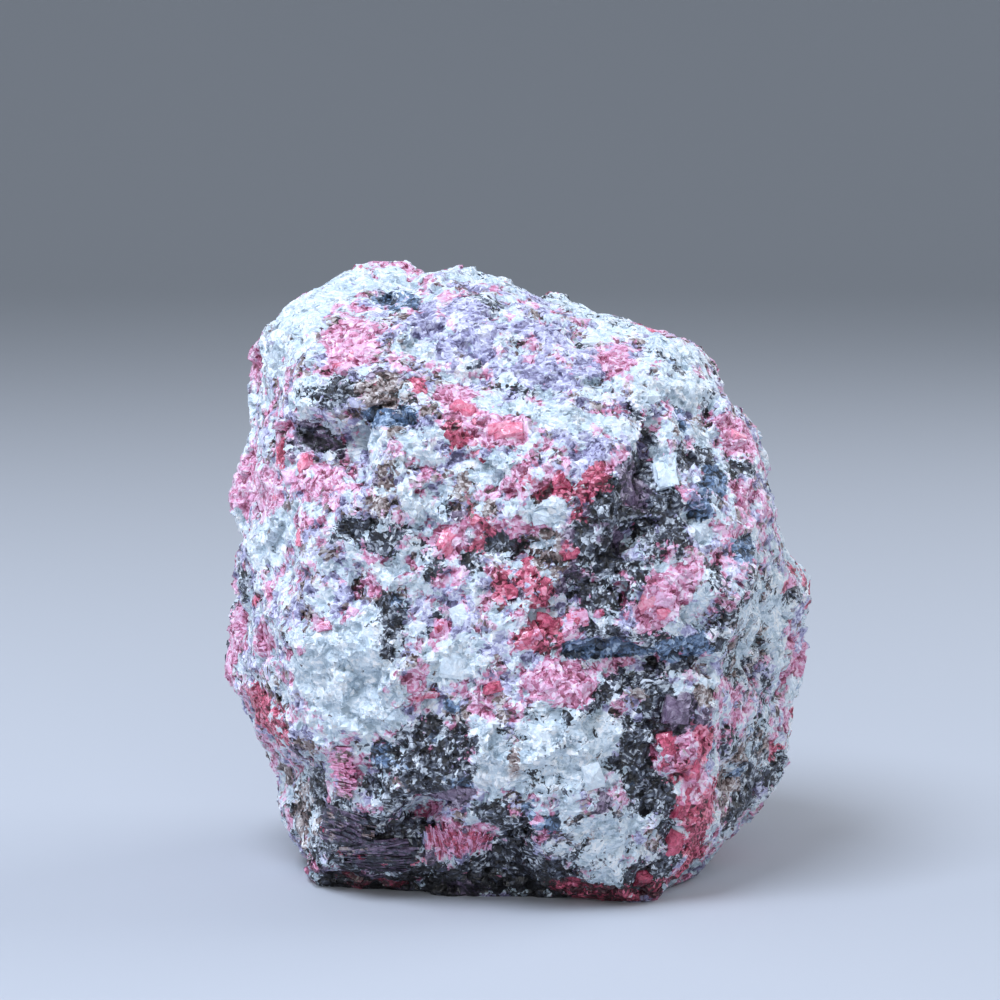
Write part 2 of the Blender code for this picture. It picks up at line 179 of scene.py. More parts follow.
        (11.8, 14.8, 1.3, 2.7, 0, 1.1), (-8.5, 14.4, 4.6, 4.8, 0, 0.88), (25.0, 13.6, 1.8, 2.6, 0, 1.0),
        (-7.5, 13.0, 3.4, 3.2, 0, 1.05), (22.6, 12.2, 2.6, 2.6, 0, 1.1), (-9.3, 12.0, 2.6, 2.4, 0, 1.25),
        (5.0, 11.4, 1.2, 0.8, 0, 0.6), (-13.6, 11.2, 3.0, 1.6, -20, 0.75), (13.0, 11.2, 2.5, 2.8, 0, 1.35),
        (-19.6, 11.0, 2.0, 3.4, 0, 0.95), (-12.6, 10.8, 3.0, 1.9, -20, 1.05), (21.3, 9.8, 2.2, 1.9, 0, 1.1),
        (-20.2, 9.6, 1.1, 3.0, 0, 0.8), (-2.2, 9.2, 2.4, 1.8, 0, 1.1), (-17.0, 8.8, 3.4, 2.0, -10, 0.95),
        (-11.2, 8.0, 4.4, 1.9, 0, 1.05), (0.2, 7.6, 1.9, 2.6, 0, 1.0), (14.3, 7.4, 0.9, 2.2, 0, 1.0),
        (-10.6, 6.8, 1.8, 2.4, -30, 1.4), (-15.0, 5.6, 6.4, 3.6, -5, 1.15), (8.0, 5.2, 1.4, 0.9, 0, 0.7),
        (-0.4, 4.6, 3.6, 4.4, 0, 1.2), (14.6, 4.6, 1.4, 2.0, -20, 0.9), (-13.6, 4.4, 6.0, 1.0, -4, 1.3),
        (2.4, 4.4, 2.0, 1.8, 0, 0.95), (13.8, 4.4, 1.7, 1.6, 0, 0.9), (-14.0, 4.3, 5.6, 0.7, -3, 1.6),
        (3.4, 3.9, 3.2, 1.9, 0, 1.35), (12.5, 3.8, 2.7, 1.6, 0, 1.0), (-2.3, 3.2, 2.7, 2.8, 0, 1.0),
        (12.4, 3.2, 3.0, 2.0, 0, 1.1), (0.6, 2.5, 2.4, 2.3, 0, 1.1), (-14.0, 1.9, 6.2, 2.1, -2, 1.25),
        (-13.4, 1.4, 6.8, 1.5, -2, 1.2), (-8.0, 1.4, 3.0, 1.4, 0, 1.2), (2.4, 1.4, 3.4, 1.2, 0, 1.15),
        (-2.0, 1.0, 14.0, 1.5, 0, 1.1),
    ),
    # The broad rows on the crown, from z 52 up, are partly mauve mineral and partly the painted blue of sky
    # light on that upward face.
    "mauve": (
        (2.9, 57.9, 1.4, 0.8, 0, 1.1), (-6.2, 56.5, 6.4, 4.0, 0, 0.85), (2.6, 56.2, 3.0, 1.4, 0, 0.9),
        (3.4, 52.2, 5.4, 2.4, 0, 0.8), (5.0, 46.0, 3.4, 1.4, 0, 0.6), (7.1, 44.2, 3.2, 1.0, 0, 0.9),
        (2.2, 43.0, 2.6, 1.5, 0, 0.9), (17.4, 39.6, 2.0, 2.6, 30, 0.7), (-6.8, 29.4, 3.4, 2.9, 0, 0.8),
        (11.5, 28.9, 1.8, 1.2, 0, 0.9), (-20.6, 16.6, 1.8, 2.0, 0, 0.9),
    ),
    # The row at x -12.2, z 48.4 is a painted blue reflection of the sky; the rows along the slot near z 25
    # are partly dark mineral and partly painted shade.
    "slate": (
        (-10.8, 58.8, 2.4, 1.6, 0, 0.8), (12.6, 54.6, 3.0, 1.0, -28, 0.75), (14.0, 53.0, 3.2, 0.9, -32, 0.95),
        (-12.2, 48.4, 2.8, 1.3, 0, 1.3), (16.0, 48.0, 1.4, 2.0, -30, 0.7), (18.9, 41.6, 2.2, 1.9, 0, 1.15),
        (17.6, 39.0, 1.9, 1.9, 0, 0.85), (21.4, 35.4, 1.9, 2.2, 0, 0.95), (-11.6, 28.4, 2.0, 2.2, 0, 0.7),
        (9.0, 25.6, 5.7, 1.45, -2, 1.6), (15.8, 25.2, 4.2, 1.5, -8, 1.2), (-5.8, 20.0, 1.6, 1.4, 0, 0.75),
        (-13.0, 15.8, 2.0, 1.9, 0, 0.8), (-8.6, 14.2, 4.4, 4.0, 0, 0.72), (22.2, 14.2, 2.8, 5.0, -15, 0.72),
        (-5.4, 11.8, 2.0, 2.0, 0, 0.85), (12.6, 11.6, 2.4, 2.6, 0, 0.85), (2.4, 8.2, 2.0, 1.9, 0, 0.85),
    ),
    # The rows in the pit near x -19, z 46, down the groove near x 9 to 11, and along the bottom below z 3 are
    # partly plum mineral and partly painted shade.
    "plum": (
        (-10.4, 51.6, 1.6, 0.7, -20, 0.8), (-12.6, 51.4, 2.2, 1.1, -10, 0.85),
        (-20.6, 46.6, 2.0, 1.8, 0, 0.9),
        (-18.8, 45.5, 2.8, 1.3, -14, 1.45), (-21.4, 44.6, 1.2, 1.0, 0, 0.8), (2.2, 43.2, 2.2, 1.2, 0, 0.5),
        (-13.0, 42.4, 1.4, 1.6, 0, 0.7), (10.8, 41.2, 1.5, 3.4, 24, 1.4), (6.6, 39.2, 1.6, 1.8, 20, 0.85),
        (-4.6, 38.2, 1.6, 2.6, 10, 0.8), (8.8, 36.0, 1.3, 3.2, 30, 1.2), (5.8, 35.4, 2.0, 2.2, 0, 1.1),
        (5.8, 31.8, 2.2, 2.0, 0, 0.9), (0.6, 31.6, 2.2, 1.8, 0, 0.7), (6.6, 19.8, 2.0, 1.3, 0, 0.8),
        (15.9, 19.4, 1.9, 2.1, 0, 1.5), (17.6, 18.8, 2.2, 2.2, 0, 1.0), (14.8, 18.2, 1.4, 3.0, -10, 0.9),
        (-20.8, 15.4, 2.0, 2.2, 0, 0.85), (-6.0, 11.0, 2.8, 1.3, 0, 1.3), (8.2, 10.2, 1.2, 1.0, 0, 0.7),
        (-8.6, 4.6, 1.2, 2.2, -20, 0.9), (13.4, 4.2, 1.6, 1.8, 0, 0.85), (-16.4, 3.4, 3.4, 1.4, 0, 0.8),
        (-14.0, 2.2, 6.0, 1.8, -2, 1.1), (-5.6, 1.8, 3.6, 1.6, 0, 1.1),
    ),
    "umber": (
        (-12.8, 50.6, 2.8, 1.5, 0, 1.15), (-23.4, 50.2, 1.2, 1.6, 0, 0.5), (-23.2, 49.6, 2.4, 2.8, 0, 0.4),
        (-11.8, 46.6, 1.2, 0.5, 0, 1.1), (-12.6, 42.6, 1.6, 2.4, 0, 0.7), (-12.0, 39.6, 4.0, 1.6, 5, 0.6),
        (-4.0, 39.4, 2.4, 4.0, 12, 0.75), (3.6, 34.6, 3.0, 3.4, 20, 0.85), (-19.4, 22.0, 0.9, 1.6, 0, 0.5),
        (12.3, 20.8, 1.4, 1.1, 0, 0.9), (18.2, 20.8, 2.0, 1.8, 0, 0.95), (-5.4, 19.4, 2.0, 1.5, 0, 0.8),
        (-20.4, 16.2, 2.2, 2.2, 0, 0.9), (22.9, 16.1, 3.3, 4.0, 0, 0.8), (0.4, 14.4, 1.3, 1.4, 0, 1.6),
        (21.4, 13.6, 3.2, 5.2, -15, 0.9), (-22.3, 12.9, 1.1, 2.0, 0, 1.0), (-20.4, 9.4, 2.2, 4.6, 0, 0.95),
        (13.1, 7.0, 2.0, 2.1, 0, 0.6), (-15.7, 6.5, 3.6, 2.2, 0, 0.95), (-14.4, 4.6, 4.6, 1.4, -3, 0.9),
    ),
}
# Where fine grains of light and dark minerals mix.
SPECKLED = (
    (22.6, 27.4, 5.6, 7.0, 0, 0.74), (23.0, 15.5, 3.8, 5.0, 0, 0.75), (6.6, 6.4, 4.8, 3.8, 0, 0.66),
    (-20.4, 8.6, 3.4, 5.2, 0, 0.72), (4.2, 15.2, 6.6, 5.0, 0, 0.55), (-12.0, 10.6, 3.0, 3.4, 0, 0.7),
)
SPECKLED_MINERALS = ("white", "black", "umber")

OUTWARD_REACH = 2.0  # mm, how much of the rock says which way it looks
PATCH_CORE = 0.45  # a patch is at full strength inside this share of its reach
PATCH_EDGE = 1.42  # and gone at this one
PATCH_DEPTH = 1.3  # its reach into the rock over the larger of its half sizes
PATCH_LEAST = 1.5  # mm, the half size that a smaller patch's depth is worked out from
PATCH_WARP = 1.5  # mm, how far its outline wanders
PATCH_WARP_LENGTH = 2.8  # mm
FRONT_KNOWN_Y = (-2.0, 5.0)  # mm, from surveyed front to unsurveyed back

# Lenses away from the surveyed front: their length in mm, the share of the rock they take, and strength.
LENSES = {
    "white": (8.0, 0.42, 1.1),
    "rose": (6.5, 0.36, 1.1),
    "red": (4.5, 0.20, 1.05),
    "black": (6.0, 0.30, 1.1),
    "mauve": (7.0, 0.30, 0.7),
    "slate": (5.0, 0.03, 1.1),
    "umber": (7.5, 0.18, 0.8),
    "plum": (5.0, 0.10, 1.0),
}
LENS_SPREAD = 0.28  # of the noise that makes them, about its middle
LENS_EDGE = (-0.04, 0.06)  # of the same noise, from outside a lens to inside it
UNSEEN_MATRIX = 0.5  # how strongly the matrix shows among them
WARP_SALT, LENS_SALT, LENS_SALT_STEP = 5, 100, 7  # keep one noise from repeating another

# ---- small tools --------------------------------------------------------------------------------

HASH_PRIMES = np.array((73856093, 19349663, 83492791))
OCTAVE_SHIFT = 37.7  # cells, so that no octave of noise lines up with another


def linear(tone):
    """The linear RGBA of an sRGB hex colour."""
    channels = [int(tone[i : i + 2], 16) / 255 for i in (1, 3, 5)]
    return [c / 12.92 if c <= 0.04045 else ((c + 0.055) / 1.055) ** 2.4 for c in channels] + [1.0]


def add_node(tree, kind, inputs=(), stops=None, **settings):
    """Adds a node. An input takes a value, a socket, or a node, which means its first output.

    Inputs are named, or else listed from the first. Stops fill a colour ramp.
    """
    made = tree.nodes.new("ShaderNode" + kind)
    for name, value in settings.items():
        setattr(made, name, value)
    for socket, value in (inputs if isinstance(inputs, dict) else dict(enumerate(inputs))).items():
        if isinstance(value, bpy.types.Node):
            value = value.outputs[0]
        if isinstance(value, bpy.types.NodeSocket):
            tree.links.new(value, made.inputs[socket])
        else:
            made.inputs[socket].default_value = value
    if stops:
        elements = made.color_ramp.elements
        while len(elements) < len(stops):
            elements.new(1.0)
        for element, (place, tone) in zip(elements, stops):
            element.position = place
            element.color = tone
    return made


def hashed(cells, salt):
    """Repeatable random numbers from 0 to 1 for whole-numbered cells, one per row."""
    mixed = cells.astype(np.int64) @ HASH_PRIMES + salt * 2654435761
    mixed = (mixed ^ (mixed >> 13)) * 1274126177 & 0xFFFFFFFF
    mixed = (mixed ^ (mixed >> 16)) * 2246822519 & 0xFFFFFFFF
    return ((mixed ^ (mixed >> 15)) & 0xFFFFFF) / 0xFFFFFF


def value_noise(points, length, salt, octaves=3):
    """Smooth noise from about 0 to 1 whose largest lumps are length across."""
    total = np.zeros(len(points))
    share = 1.0
    for octave in range(octaves):
        place = points / length * 2**octave + OCTAVE_SHIFT * (octave + 1)
        cell = np.floor(place)
        t = place - cell
        t = t * t * (3 - 2 * t)
        layer = np.zeros(len(points))
        for corner in np.ndindex(2, 2, 2):
            near = np.where(corner, t, 1 - t).prod(axis=1)
            layer += near * hashed(cell + corner, salt + octave)
        total += share * layer
        share /= 2
    return total / (2 - 2 * share)


def vector_noise(points, length, salt):
    """Three noises at once, from about -1 to 1."""
    return np.stack([2 * value_noise(points, length, salt + 11 * i) - 1 for i in range(3)], axis=1)


def smooth_step(low, high, values):
    """0 up to low and 1 from high on, with a smooth rise between them."""
    t = np.clip((values - low) / (high - low), 0, 1)
    return t * t * (3 - 2 * t)


def unit(vectors):
    """Each vector at a length of 1."""
    return vectors / np.linalg.norm(vectors, axis=-1, keepdims=True)


def mesh_vectors(mesh, normals=False):
    """The places of a mesh's points, one per row, or else their normals."""
    values = np.zeros(len(mesh.vertices) * 3, np.float32)
    source = mesh.vertex_normals if normals else mesh.attributes["position"].data
    source.foreach_get("vector", values)
    return values.reshape(-1, 3).astype(float)


def mesh_copy(node):
    """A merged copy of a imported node's mesh."""
    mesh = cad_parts[node].data.copy()
    bm = bmesh.new()
    bm.from_mesh(mesh)
    bmesh.ops.remove_doubles(bm, verts=bm.verts, dist=1e-6)
    bm.to_mesh(mesh)
    bm.free()
    mesh.materials.clear()
    return mesh


def smoothed(mesh, rounds):
    """A mesh's points and normals, one per row, once its fine steps have been smoothed away."""
    bm = bmesh.new()
    bm.from_mesh(mesh)
    for _ in range(rounds):
        bmesh.ops.smooth_vert(
            bm, verts=bm.verts, factor=0.5, use_axis_x=True, use_axis_y=True, use_axis_z=True
        )
    bm.normal_update()
    points = np.array([v.co for v in bm.verts])
    normals = np.array([v.normal for v in bm.verts])
    bm.free()
    return points, normals


def nearest_finder(points):
    """A tree that finds the nearest of points."""
    tree = KDTree(len(points))
    for i, point in enumerate(points):
        tree.insert(point, i)
    tree.balance()
    return tree


def placed(name, mesh):
    """A new object at the origin, in the scene."""
    piece = bpy.data.objects.new(name, mesh)
    bpy.context.scene.collection.objects.link(piece)
    return piece


def store(mesh, name, rows):
    """Keeps four numbers on each corner of a mesh, where its material can read them."""
    layer = mesh.attributes.new(name, "FLOAT_COLOR", "POINT")
    layer.data.foreach_set("color", np.ascontiguousarray(rows, np.float32).ravel())


def store_minerals(mesh, weights):
    """Keeps the eight minerals' weights on each corner of a mesh."""
    store(mesh, "minerals", weights[:, :4])
    store(mesh, "more_minerals", weights[:, 4:])


# ---- the rock's surface as the survey saw it ----------------------------------------------------


class Survey:
    """Finds the places of the front's patches on the rock, and the minerals at any point of it."""

    def __init__(self, mesh):
        points = [v.co / MM for v in mesh.vertices]
        self.tree = BVHTree.FromPolygons(points, [p.vertices[:] for p in mesh.polygons])

    def place(self, x, z):
        """The point of the rock that is seen at x, z of the survey's plane, in mm."""
        aim = Vector((x, SURVEY_PLANE_Y, z)) - SURVEY_EYE
        hit = self.tree.ray_cast(SURVEY_EYE, aim)[0]
        if hit is None:
            hit = self.tree.find_nearest(SURVEY_EYE + aim)[0]
        return hit

    def outward(self, at):
        """Which way the rock's broad form looks at a place."""
        near = self.tree.find_nearest_range(at, OUTWARD_REACH)
        return sum((normal for _, normal, _, _ in near), Vector()).normalized()

    def patch(self, points, x, z, half_width, half_height, turn, strength):
        """How strongly a patch shows at points."""
        away = points - np.array(self.place(x, z))
        c = math.cos(math.radians(turn))
        s = math.sin(math.radians(turn))
        along = (away[:, 0] * c + away[:, 2] * s) / half_width
        across = (away[:, 2] * c - away[:, 0] * s) / half_height
        inward = away[:, 1] / (PATCH_DEPTH * max(half_width, half_height, PATCH_LEAST))
        reach = np.sqrt(along**2 + across**2 + inward**2)
        return strength * (1 - smooth_step(PATCH_CORE, PATCH_EDGE, reach))

    def minerals(self, points):
        """The weight of each mineral, a column each, at points in mm."""
        wandered = points + PATCH_WARP * vector_noise(points, PATCH_WARP_LENGTH, WARP_SALT)
        unseen = smooth_step(*FRONT_KNOWN_Y, points[:, 1])
        columns = []
        for number, mineral in enumerate(MINERALS):
            length, share, strength = LENSES[mineral]
            lens = value_noise(points, length, LENS_SALT + LENS_SALT_STEP * number)
            edge = 0.5 + LENS_SPREAD * (0.5 - share)
            weight = MATRIX_SHARE[mineral] * (1 - (1 - UNSEEN_MATRIX) * unseen)
            inside = smooth_step(edge + LENS_EDGE[0], edge + LENS_EDGE[1], lens)
            weight = weight + unseen * strength * inside
            for patch in PATCHES[mineral] + (SPECKLED if mineral in SPECKLED_MINERALS else ()):
                weight = np.maximum(weight, self.patch(wandered, *patch))
            columns.append(weight)
        return np.stack(columns, axis=1)


# ---- the skin -----------------------------------------------------------------------------------

SKIN_STEP = 0.42  # mm, how fine the skin is meshed
# The skin's fracture faces, all in mm but the lean: how far across, how far they lean, and stand in or out.
SKIN_FACES = ((2.9, 0.09, 0.22), (1.5, 0.18, 0.15), (0.85, 0.26, 0.08))
CREASE = 22  # degrees, edges sharper than this stay crisp
SKIN_AREA = 10500  # mm2
FACE_STRETCH = np.array((0.85, 1.0, 1.2))  # the rock splits into faces a little wider than they are high
BROAD_ROUNDS = 6  # of smoothing, to the rock's broad form
SHALLOWEST = 0.45  # the least that a face may look outward
DEEPEST = 0.3  # how far a face may cut into the rock over how far across it is
MOST_OUT = 0.05  # mm, how far one may stand out
FOOT_HEIGHT = 0.05  # mm, points lower than this are the foot and stay
FOOT_FADE = 0.8  # mm, the relief fades in above it
HOLLOW_ROUNDS = 8  # of smoothing, to the level that hollows are measured from
HOLLOW_DEPTH = 1.0  # mm
HOLLOW_SHADE = (-0.05, 0.25)  # from the highest points to the deepest
FOOT_SHADE = 0.20  # painted shade: how much darker the foot is painted, over how light the rock is
SHADED_HEIGHT = (0.8, 4.6)  # mm, from most shaded to unshaded
MIDDLING = 0.5


def fracture(points, outward, facing, across, lean, stand, rng):
    """Flattens the skin face by face. Returns its points, and which way the face that each is on looks."""
    count = int(SKIN_AREA / across**2)
    seeds = rng.integers(0, len(points), count)
    tree = nearest_finder(points[seeds] * FACE_STRETCH)
    owners = np.array([tree.find(p)[1] for p in points * FACE_STRETCH])
    looks = unit(facing[seeds] + lean * rng.normal(0, 1, (count, 3)))[owners]
    origins = (points[seeds] + outward[seeds] * rng.normal(0, stand, (count, 1)))[owners]
    slope = (looks * outward).sum(axis=1).clip(SHALLOWEST)
    shift = (((origins - points) * looks).sum(axis=1) / slope).clip(-DEEPEST * across, MOST_OUT)
    return points + outward * (shift * smooth_step(FOOT_HEIGHT, FOOT_FADE, points[:, 2]))[:, None], looks


def make_skin():
    """A fine, broken copy of the rock's solid that keeps its foot flat and stays in its box."""
    mesh = mesh_copy(NODE)
    skin = placed("rock", mesh)
    even = skin.modifiers.new("Even skin", "REMESH")
    even.mode = "VOXEL"
    even.voxel_size = SKIN_STEP * MM
    evaluated = skin.evaluated_get(bpy.context.evaluated_depsgraph_get())
    fine = bpy.data.meshes.new_from_object(evaluated)
    skin.modifiers.clear()
    skin.data = fine
    bpy.data.meshes.remove(mesh)
    fine.name = "rock"

    points = mesh_vectors(fine) / MM
    _, outward = smoothed(fine, BROAD_ROUNDS)
    facing = mesh_vectors(fine, normals=True)
    rng = np.random.default_rng(SEED)
    for across, lean, stand in SKIN_FACES:
        points, facing = fracture(points, outward, facing, across, lean, stand, rng)
    low, high = (np.array(corner) / MM for corner in CAD_BOX)
    points = np.clip(points, low, high) * MM
    fine.attributes["position"].data.foreach_set("vector", points.astype(np.float32).ravel())
    fine.update()
    return skin


def foot_shade(heights):
    """How much darker the rock is painted near the ground, as painted shade."""
    return FOOT_SHADE * (1 - smooth_step(*SHADED_HEIGHT, heights))


def skin_shades(mesh):
    """Rows for the skin like those of grains, with middling tones and painted shade down in hollows and near
    the ground.
    """
    points = mesh_vectors(mesh)
    level, _ = smoothed(mesh, HOLLOW_ROUNDS)
    below = ((level - points) / MM * mesh_vectors(mesh, normals=True)).sum(axis=1)
    rows = np.full((len(points), 4), MIDDLING)
    rows[:, 3] = 1 - (below / HOLLOW_DEPTH).clip(*HOLLOW_SHADE) - foot_shade(points[:, 2] / MM)
    return rows


# ---- grains -------------------------------------------------------------------------------------

# Sizes of grain: the cell that holds one, its width from and to, all in mm, its broken corners, and the
# share of cells that are filled.
GRAIN_SIZES = (
    (2.1, 1.5, 2.5, 4, 0.75),
    (1.15, 0.85, 1.35, 2, 0.95),
    (0.86, 0.55, 0.95, 1, 0.95),
)
PROTOTYPES = 7  # shapes cut for each size
# How each mineral breaks: length over width, depth over width, lean out of the surface, stand over width.
# The other two break clean, without grains.
HABITS = {
    "white": (1.25, 0.9, 0.15, (-0.12, 0.08)),
    "rose": (1.9, 0.7, 0.16, (-0.12, 0.08)),
    "red": (1.6, 0.8, 0.16, (-0.12, 0.08)),
    "black": (2.1, 0.7, 0.24, (-0.20, 0.08)),
    "mauve": (1.5, 0.7, 0.16, (-0.12, 0.08)),
    "umber": (1.7, 0.6, 0.20, (-0.14, 0.08)),
}
# The pieces that grains are joined into, and what each is made of.
GRAIN_PIECES = {
    "white": ("feldspar_grains", "Cleaved_feldspar"),  # milky, with small bright faces
    "rose": ("rose_grains", "Cleaved_pink_rhodonite"),  # flat pink steps that flash here and there
    "red": ("red_grains", "Glassy_red_rhodonite"),  # deep and glassy
    "black": ("dark_grains", "Splintered_amphibole"),  # near black, with pale glints, partly real gloss and partly painted highlight
    "mauve": ("mauve_grains", "Fine_rhodonite_and_feldspar"),  # sugary and soft
    "umber": ("umber_grains", "Weathered_rock"),  # brown and dull
}
STRAIGHTNESS = 0.75  # 0 turns neighbouring grains any way, 1 lines them up
STRAIGHT_LENGTH = 4.0  # mm, over which the grains' direction changes
STRAIGHT_SALT = 31
GRAIN_ROUNDS = 1  # of smoothing, to the way that grains stand
OWN_MINERAL = 0.10  # what a grain adds to the weight of its own mineral
MIX = 0.12  # how much chance there is in which mineral a grain is
LUCK_EDGE = 0.001  # keeps luck off 0 and 1, where its logarithm has no end
MOST_PROUD = 0.05  # mm, how far a grain's corners stand out; past that it sits deeper
TOO_PROUD = 0.15  # mm, a grain that still stands out further then is left out
FOOT_CLEARANCE = 0.02  # mm, grains stay this far above the ground
UPPER_PART = 0.2  # corners of a unit block above this may stand out of the rock
GRID_SPAN = 4096  # more cells than the rock is across

# How a unit block breaks: its lower sides are cut to a keel, then its upper corners are knocked off.
KEEL_SIDES = (-1, 1)
KEEL_LEAN = 0.2
KEEL_SLOPE = (0.6, 0.85)
KEEL_WIDTH = (0.1, 0.16)
CORNER_RISES = (0.35, 1.3)
CORNER_REACHES = (0.36, 0.5)


def cut_plane(bm, normal, distance):
    """Cuts away what lies beyond a plane and closes the cut."""
    parts = bm.verts[:] + bm.edges[:] + bm.faces[:]
    normal = normal.normalized()
    bmesh.ops.bisect_plane(bm, geom=parts, plane_co=normal * distance, plane_no=normal, clear_outer=True)
    bmesh.ops.holes_fill(bm, edges=[e for e in bm.edges if e.is_boundary])


def cleaved_block(rng, corners, keel=True, rises=CORNER_RISES, reaches=CORNER_REACHES):
    """Corners and triangles of a unit block: flat on top, broken at its upper corners, and keeled or not."""
    bm = bmesh.new()
    bmesh.ops.create_cube(bm, size=1.0)
    for side in KEEL_SIDES if keel else ():
        lean = rng.uniform(-KEEL_LEAN, KEEL_LEAN)
        cut_plane(bm, Vector((side, lean, -rng.uniform(*KEEL_SLOPE))), rng.uniform(*KEEL_WIDTH))
    for _ in range(corners):
        around = rng.uniform(0, 2 * math.pi)
        way = Vector((math.cos(around), math.sin(around), rng.uniform(*rises)))
        cut_plane(bm, way, rng.uniform(*reaches))
    bmesh.ops.triangulate(bm, faces=bm.faces)
    bm.verts.ensure_lookup_table()
    corners_at = np.array([v.co for v in bm.verts])
    triangles = np.array([[v.index for v in f.verts] for f in bm.faces])
    bm.free()
    return corners_at, triangles


def spread(points, cell, share, rng):
    """Indices of points picked by chance, one in each cell of a grid."""
    order = rng.permutation(len(points))
    cells = np.floor(points[order] / cell + rng.uniform(0, 1, 3)).astype(np.int64)
    key = (cells[:, 0] * GRID_SPAN + cells[:, 1]) * GRID_SPAN + cells[:, 2]
    picked = order[np.unique(key, return_index=True)[1]]
    return picked[rng.uniform(0, 1, len(picked)) < share]


def proud_by(corners_at, tree, points, normals):
    """How far the highest corner of each grain stands out of the skin, or out past an edge of it, in mm."""
    flat = corners_at.reshape(-1, 3)
    found = [tree.find(corner)[1:] for corner in flat]
    nearest = np.array([index for index, _ in found])
    past = np.array([distance for _, distance in found]) - SKIN_STEP
    heights = ((flat - points[nearest]) * normals[nearest]).sum(axis=1)
    heights = np.where(heights > 0, np.maximum(heights, past), heights)
    return heights.reshape(corners_at.shape[:2]).max(axis=1)


def lucky_minerals(weights, rng):
    """Which mineral each grain is: mostly the one of most weight, and now and then another."""
    luck = rng.uniform(0, 1, weights.shape) * (1 - 2 * LUCK_EDGE) + LUCK_EDGE
    return (weights - MIX * np.log(-np.log(luck))).argmax(axis=1)


def scattered_grains(points, normals, fine_normals, survey, rng):
    """Batches of like grains, listed by mineral: their corners, triangles, tone values and heights, which the
    material turns into painted shade down their sides.
    """
    made = {mineral: [] for mineral in MINERALS}
    tree = nearest_finder(points)
    for cell, smallest, largest, corners, share in GRAIN_SIZES:
        shapes = [cleaved_block(rng, corners) for _ in range(PROTOTYPES)]
        picked = spread(points, cell, share, rng)
        weights = survey.minerals(points[picked])
        kinds = lucky_minerals(weights, rng)
        grain_way = vector_noise(points[picked], STRAIGHT_LENGTH, STRAIGHT_SALT)
        for number, mineral in enumerate(MINERALS):
            mine = np.flatnonzero(kinds == number)
            count = len(mine)
            if not count:
                continue
            width = rng.uniform(smallest, largest, count)
            if mineral not in HABITS:
                continue
            length, depth, lean, stand = HABITS[mineral]
            places = points[picked][mine]
            out = normals[picked][mine]
            up = unit(out + lean * rng.normal(0, 1, (count, 3)))
            way = STRAIGHTNESS * unit(grain_way[mine]) + (1 - STRAIGHTNESS) * rng.normal(0, 1, (count, 3))
            along = unit(way - up * (way * up).sum(axis=1, keepdims=True))
            axes = np.stack([along, np.cross(up, along), up], axis=1)
            stretch = np.sqrt(rng.uniform(1.0, length, count))
            sizes = width[:, None] * np.stack([stretch, 1 / stretch, np.full(count, depth)], axis=1)
            proud = rng.uniform(*stand, count) * width
            centres = places + out * (proud - 0.5 * sizes[:, 2])[:, None]
            tones = rng.uniform(0, 1, (count, 3))
            own = weights[mine]
            own[:, number] += OWN_MINERAL
            which = rng.integers(0, PROTOTYPES, count)
            for shape, (block, triangles) in enumerate(shapes):
                rows = np.flatnonzero(which == shape)
                local = block[None] * sizes[rows][:, None, :]
                corners_at = np.einsum("nvk,nkc->nvc", local, axes[rows]) + centres[rows][:, None, :]
                upper = block[:, 2] > UPPER_PART
                excess = proud_by(corners_at[:, upper], tree, points, fine_normals)
                excess = (excess - MOST_PROUD - proud[rows].clip(0)).clip(0)
                corners_at -= (out[rows] * excess[:, None])[:, None, :]
                clear = corners_at[:, :, 2].min(axis=1) > FOOT_CLEARANCE
                clear &= proud_by(corners_at[:, upper], tree, points, fine_normals) < TOO_PROUD
                values = np.concatenate([tones, own], axis=1)[rows][clear]
                made[mineral].append((corners_at[clear], triangles, values, block[:, 2] + 0.5))
    return made


def joined(batches):
    """One list each of corners, triangles and corner values from batches of like blocks."""
    corners, triangles, values, start = [], [], [], 0
    for corners_at, faces, rows, heights in batches:
        count, size = corners_at.shape[:2]
        corners.append(corners_at.reshape(-1, 3))
        triangles.append((faces[None] + start + size * np.arange(count)[:, None, None]).reshape(-1, 3))
        each = np.repeat(rows, size, axis=0)
        # Each corner's height in its block goes with the tones; the material paints the lower corners darker,
        # as painted shade.
        values.append(np.column_stack([each[:, :3], np.tile(heights, count), each[:, 3:]]))
        start += count * size
    return np.concatenate(corners), np.concatenate(triangles), np.concatenate(values)


def finish_piece(name, batches, material):
    """An object of flat-sided blocks, with each one's tones and mineral weights stored on its corners."""
    corners, triangles, values = joined(batches)
    # Painted shade: the blocks are painted darker near the ground.
    values[:, 3] -= foot_shade(corners[:, 2])
    mesh = bpy.data.meshes.new(name)
    mesh.from_pydata((corners * MM).tolist(), [], triangles.tolist())
    store(mesh, "grain", values[:, :4])
    store_minerals(mesh, values[:, 4:])
    mesh.shade_flat()
    mesh.materials.append(material)
    piece = placed(name, mesh)
    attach(piece, BODY)


# ---- larger crystals ----------------------------------------------------------------------------

